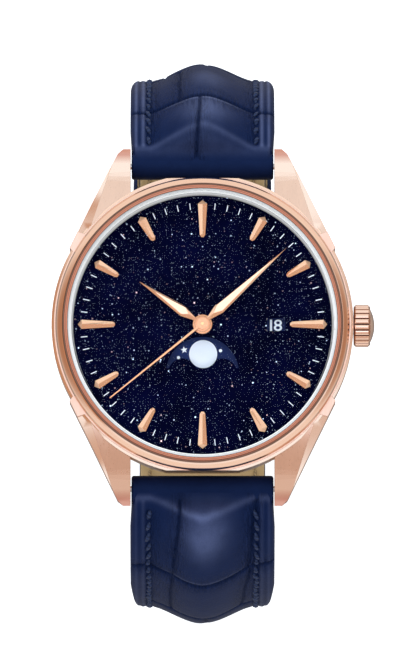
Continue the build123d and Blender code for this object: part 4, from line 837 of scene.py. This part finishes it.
def keeper_piece(name, node_name, body, along, half_size, low=-2.4, high=3.6, wall=0.8, wide=5.0, radius=1.6):
    """A leather loop round the strap: a band with soft edges swept round a rounded rectangle."""
    half = HALVES["12"]
    corner = np.repeat([(1, 1), (-1, 1), (-1, -1), (1, -1)], 9, axis=0)
    turn = np.radians(np.linspace([0, 90, 180, 270], [90, 180, 270, 360], 9).T.ravel())
    normal = grid(np.cos(turn), np.sin(turn))
    straight = (half_size + wall - radius, (high - low) / 2 + wall - radius)
    loop = (0, (high + low) / 2) + corner * straight + radius * normal
    step = np.linspace(-1, 1, 15)
    section = np.concatenate([step, step[::-1]]) * wide / 2
    outside, inside = 0.22 * abs(step) ** 5 + 0.05 * (1 - abs(step)), wall - 0.18 * abs(step) ** 5
    depth = np.concatenate([outside, inside])
    before, centre = half.on(along + np.array([-0.05, 0.0]), 0.0, 0.0)
    forward = (centre - before) / np.linalg.norm(centre - before)
    outward = half.on(along, 0.0, 1.0)[0] - centre
    flat = loop[:, None, :] - normal[:, None, :] * depth[:, None]
    points = centre + flat[..., :1] * np.array([1.0, 0, 0]) + flat[..., 1:] * outward + section[:, None] * forward
    rows, columns = points.shape[:2]
    round_it = np.cumsum(np.r_[0, np.linalg.norm(np.diff(loop, axis=0), axis=1)])[:, None]
    shape = points.reshape(-1, 3), grid_faces(rows, columns, loop=True), grid(section + 60, round_it, 0, 0.3)
    made = mesh_object(name, shape, "leather_navy", body)
    made.data.materials.append(MATERIALS["lining_tan"])
    lined = np.tile((np.arange(columns) >= 15) & (np.arange(columns) < 29), rows)
    made.data.polygons.foreach_set("material_index", lined.astype(np.int32))
    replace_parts(made, node_name)


keeper_piece("keeper_by_buckle", "fixed_keeper", "strap_12", HALVES["12"].total - 8.0, 9.1)
keeper_piece("keeper_loose", "free_keeper", "keeper", HALVES["12"].total - 27.5, 9.2)


# Hands, hour markers, dial print, date numerals and the moon
def flat_solids(outlines, low, high):
    """Closed flat solids from outlines of points: top and bottom faces with walls between."""
    solids = []
    for outline in outlines:
        count = len(outline)
        places = np.column_stack([np.tile(outline, (2, 1)), np.repeat([low, high], count)])
        solids.append((places, ring_faces(2, count)))
    return stacked(solids)


def on_dial(flat, level, turn):
    """Points from flat places and levels, turned about the dial's middle by an angle in degrees."""
    angle = math.radians(turn)
    (x, y), cos, sin = np.asarray(flat).T, math.cos(angle), math.sin(angle)
    return grid(cos * x - sin * y, sin * x + cos * y, level)


def round_outline(centre, radius, count=64, lean=0.0):
    """The corners of a circle, or those of a star where the radius alternates."""
    turn = circle(count) + lean
    return grid(centre[0] + radius * np.cos(turn), centre[1] + radius * np.sin(turn))


def turned_ring(inner, outer, low, high, bevel=0.06, fall=0.03, count=72):
    """A ring whose top slopes gently down from its bore and ends in a small bevel."""
    profile = [(inner, low), (outer, low), (outer, high - bevel - fall), (outer - bevel, high - fall), (inner, high)]
    (radius, level), turn = np.array(profile).T, circle(count)[:, None]
    points = grid(radius * np.cos(turn), radius * np.sin(turn), level)
    return points, grid_faces(count, len(profile), loop=True)[:, [0, 3, 2, 1]]


def hand(name, body, reach, turn, low, bore, hub, lean):
    """A leaf hand: a narrow neck hipped up to a flat top facet with bevels round it, and a turned hub."""
    start, belly, half, neck, bevel = hub - 0.12, 3.15, 1.5 / 2, 0.2, 0.22
    outline = [(-neck, start), (neck, start), (half, belly), (0.0, reach), (-half, belly)]
    facet = [
        (lean, start + 1.15), (half - bevel + lean, belly + 0.1), (lean, reach - 2.6),
        (bevel - half + lean, belly + 0.1),
    ]
    points = on_dial(outline + outline + facet, low + np.repeat([0.0, 0.1, 0.29], [5, 5, 4]), turn)
    faces = [[4, 3, 2, 1, 0]] + grid_faces(2, 5).tolist()
    faces += [[5, 6, 10], [6, 7, 11, 10], [7, 8, 12, 11], [8, 9, 13, 12], [9, 5, 10, 13], [10, 11, 12, 13]]
    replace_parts(mesh_object(name + "_polished", (points, faces), "rose_facet", body, False), name)
    mesh_object(name + "_hub", turned_ring(bore, hub, low, low + 0.2), "rose_deep", body, False)


def hour_markers(outer=17.3, shoulder=0.5, half=1.27 / 2, tail=0.75 / 2, wall=0.14, high=0.41):
    """Twelve roofed darts, longer at the quarters; each ridge lies a little to one side by chance."""
    darts = []
    for hour, lean in enumerate(np.random.default_rng(5).uniform(-0.02, 0.02, 12)):
        inner = outer - (5.15 if hour % 3 == 0 else 3.8)
        corners = [
            (-tail * 0.45, inner), (tail * 0.45, inner), (tail, inner + 0.3), (half, outer - shoulder), (0.0, outer),
            (-half, outer - shoulder), (-tail, inner + 0.3),
        ]
        ridge = [(lean, inner + 0.4), (lean, outer - shoulder - 0.1)]
        level = DIAL_TOP + np.repeat([0.0, wall, high], [7, 7, 2])
        faces = [list(range(7))[::-1]] + grid_faces(2, 7).tolist()
        faces += [[7, 8, 14], [8, 9, 14], [9, 10, 15, 14], [10, 11, 15], [11, 12, 15], [12, 13, 14, 15], [13, 7, 14]]
        darts.append((on_dial(corners + corners + ridge, level, -30 * hour), faces))
    made = mesh_object("hour_markers_polished", stacked(darts), "rose_facet", "case", False)
    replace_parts(made, "hour_markers")


def dial_face():
    """The dial with its aperture opened to the moon's full round."""
    mesh = nodes["dial"].data.copy()
    mesh.transform(nodes["dial"].matrix_world)
    made = placed("dial_face", mesh, "case")
    made.modifiers.new("weld", "WELD").merge_threshold = WELD
    aperture = flat_solids([round_outline(MOON_CENTRE, 1.98)], DIAL_TOP - 1, DIAL_TOP + 1)
    cut_out(made, mesh_object("cutter", aperture, "dial_night"))
    dress(made.data, "dial_night", False)
    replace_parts(made, "dial")


def minute_ticks(inner=16.05, outer=16.95, half=0.06):
    """Four printed strokes between each pair of hour markers."""
    stroke = [(inner, -half), (outer, -half), (outer, half), (inner, half)]
    strokes = [on_dial(stroke, 0, 6 * minute)[:, :2] for minute in range(60) if minute % 5]
    return flat_solids(strokes, DIAL_TOP - 0.01, DIAL_TOP + 0.012)


def numeral(digit, size):
    """One digit's flat mesh of a given height: a plain bar for one, the font's shape for the others."""
    if digit == "1":
        return np.array([(0, 0), (0.3, 0), (0.3, size), (0, size)]), [[0, 1, 2, 3]]
    curve = bpy.data.curves.new("numeral", "FONT")
    curve.body, curve.offset, curve.resolution_u = digit, 0.010, 3
    holder = placed("numeral", curve)
    mesh = bpy.data.meshes.new_from_object(holder.evaluated_get(bpy.context.evaluated_depsgraph_get()))
    places = np.array([v.co[:2] for v in mesh.vertices])
    faces = [list(p.vertices) for p in mesh.polygons]
    bpy.data.objects.remove(holder)
    bpy.data.meshes.remove(mesh)
    low, high = places.min(0), places.max(0)
    return (places - low) / (high - low) * np.array([0.72 * size, size]), faces


def date_numerals(size=1.60, gap=0.24, room=2.15, drop=0.06, in_window=18):
    """The days of the month round the date ring; one of them stands in the window."""
    printed = []
    for day in range(1, 32):
        glyphs = [numeral(digit, size) for digit in str(day)]
        widths = [places[:, 0].max() for places, _ in glyphs]
        across = sum(widths) + gap * (len(widths) - 1)
        reach = -across / 2
        for (places, found), width in zip(glyphs, widths):
            x = min(1.0, room / across) * (places[:, 0] + reach) + DATE_REACH
            flat = grid(x, places[:, 1] - size / 2 - drop)
            printed.append((on_dial(flat, DATE_RING_TOP + 0.012, 360 * (in_window - day) / 31), found))
            reach += width + gap
    return stacked(printed)


hand("hour_hand", "hour", 10.6, -304.0, 7.95, 1.02, 1.37, 0.05)
hand("minute_hand", "minute", 15.8, -47.8, 8.5, 0.64, 1.1, -0.05)
hour_markers()
mesh_object("minute_ticks", minute_ticks(), "ink_white", "case", False)
dial_face()
moon = [round_outline(MOON_CENTRE, 1.945)]
stars = [round_outline((-2.55, -3.51), np.tile([0.50, 0.21], 5), 10, math.pi / 2 + 0.15)]
stars += [round_outline(centre, 0.22, 24) for centre in ((-3.33, -4.58), (2.50, -3.61))]
for name, finish, marks in (("moon_faces", "moon_face", moon), ("moon_stars", "ink_white", stars)):
    marks = marks + [2 * MOON_AXIS - mark for mark in marks]
    solids = flat_solids(marks, MOON_DISC_TOP - 0.01, MOON_DISC_TOP + 0.02)
    mesh_object(name, solids, finish, "moon", False)
mesh_object("date_numerals", date_numerals(), "ink_white", "date", False)

# Floor and surroundings
WARM_SIDES = (0.58, 0.35, 0.23)
FLOOR_REACH = 3000


def floor_material():
    """A pale floor that camera and glass rays see as white, less the object's shadow; mirrors see a painted
    reflection, warm towards the sides and dimmed near the watch as a painted shadow.
    """
    made = Material("floor", Base_Color=(0.86, 0.86, 0.86), Specular_IOR_Level=0.0)
    made.feed(Roughness=made.remap(made.noise(made.place, 60.0, 3.0), 0.3, 0.7, 0.88, 0.92))
    path = made.add("LightPath")
    seen = made.maths("MAXIMUM", path["Is Camera Ray"], path["Is Transmission Ray"])
    glow = made.add("Emission", {"Color": (1.0, 1.0, 1.0), "Strength": made.times(seen, 0.6)})[0]
    both = made.add("AddShader", {0: made.shader.outputs[0], 1: glow})[0]
    away = made.vector("LENGTH", made.place)
    aside = made.maths("ABSOLUTE", made.parts(made.place)[0])
    panels = made.remap(made.maths("DIVIDE", aside, away), 0.74, 1.0, 1.0, 0.0, smooth=True)
    tone = made.blend(panels, [0.8 * part for part in WARM_SIDES], (1.0, 0.98, 0.96))
    # Painted shadow in the reflection: dimmer near the watch.
    strength = made.remap(away, 0.08, 0.16, 0.30, 1.0, smooth=True)
    painted_reflection = made.add("Emission", {"Color": tone, "Strength": strength})[0]
    made.end(made.add("MixShader", {0: path["Is Glossy Ray"], 1: both, 2: painted_reflection})[0])


floor_material()
edge = circle(64)
floor_points = grid(FLOOR_REACH * np.cos(edge), FLOOR_REACH * np.sin(edge), LOWEST)
mesh_object("floor", (floor_points, [range(64)]), "floor", smooth=False)

world = bpy.data.worlds.new("studio")
bpy.context.scene.world = world
world.use_nodes = True
sky = Graph(world.node_tree)
x, y, z = sky.parts(sky.add("TexCoord")["Generated"])
level = sky.vector("NORMALIZE", sky.add("CombineXYZ", {0: x, 1: y})[0])
toward_key = sky.vector("DOT_PRODUCT", level, (-0.44, 0.90, 0.0))
leaning = sky.maths("MAXIMUM", x, sky.times(x, -1.35))
raised = sky.remap(z, 0.12, 0.28, smooth=True)
high_panel = sky.times(sky.remap(toward_key, -0.08, 0.25, 0.28, 1.0, smooth=True), raised)
low_panel = sky.times(sky.remap(leaning, 0.90, 1.06, 1.0, 0.0, smooth=True), sky.minus(1.0, raised))
panels = sky.maths("ADD", high_panel, low_panel, clamp=True)
sides = sky.blend(sky.add("LightPath")["Is Glossy Ray"], (0.42, 0.42, 0.44), WARM_SIDES)
lit = sky.blend(panels, sides, (1.06, 1.16, 1.25))
overhead = sky.remap(z, 0.965, 0.992, smooth=True)
sky.wire(sky.blend(overhead, lit, (1.7, 1.87, 2.25)), sky.found("BACKGROUND").inputs["Color"])

# Soft lamps, which face the watch and show in no reflection, and the camera
for name, place, size, power in (
    ("key", (-0.10, 0.36, 0.36), (0.36, 0.26), 0.8), ("fill", (0.12, -0.38, 0.30), (0.36, 0.24), 0.6),
):
    data = bpy.data.lights.new(name, "AREA")
    data.shape, data.size, data.size_y, data.energy = "RECTANGLE", *size, power
    lamp = placed(name, data)
    lamp.location = place
    lamp.visible_glossy = lamp.visible_transmission = False
    lamp.rotation_euler = Vector(place).to_track_quat("Z", "Y").to_euler()

# The photograph's own scale and height, in pixels, and the camera's place below the dial's normal
PIXELS_PER_MM = 7.21
PHOTO_HEIGHT = 666
TILT = math.radians(5.0)
DISTANCE = 2.0
SENSOR = 36.0
back = np.array([0.0, -math.sin(TILT), math.cos(TILT)])
aim = np.array([-2.5 / PIXELS_PER_MM, -8.6 / PIXELS_PER_MM, DIAL_TOP]) * MM
camera_data = bpy.data.cameras.new("camera")
camera_data.sensor_width = SENSOR
camera_data.lens = SENSOR * DISTANCE / (PHOTO_HEIGHT / PIXELS_PER_MM * MM)
camera_data.clip_start, camera_data.clip_end = 0.05, 20.0
camera = placed("camera", camera_data)
camera.location = aim + back * DISTANCE
camera.rotation_euler = (TILT, 0.0, 0.0)
bpy.context.scene.camera = camera
bpy.context.scene.view_settings.view_transform = "Standard"
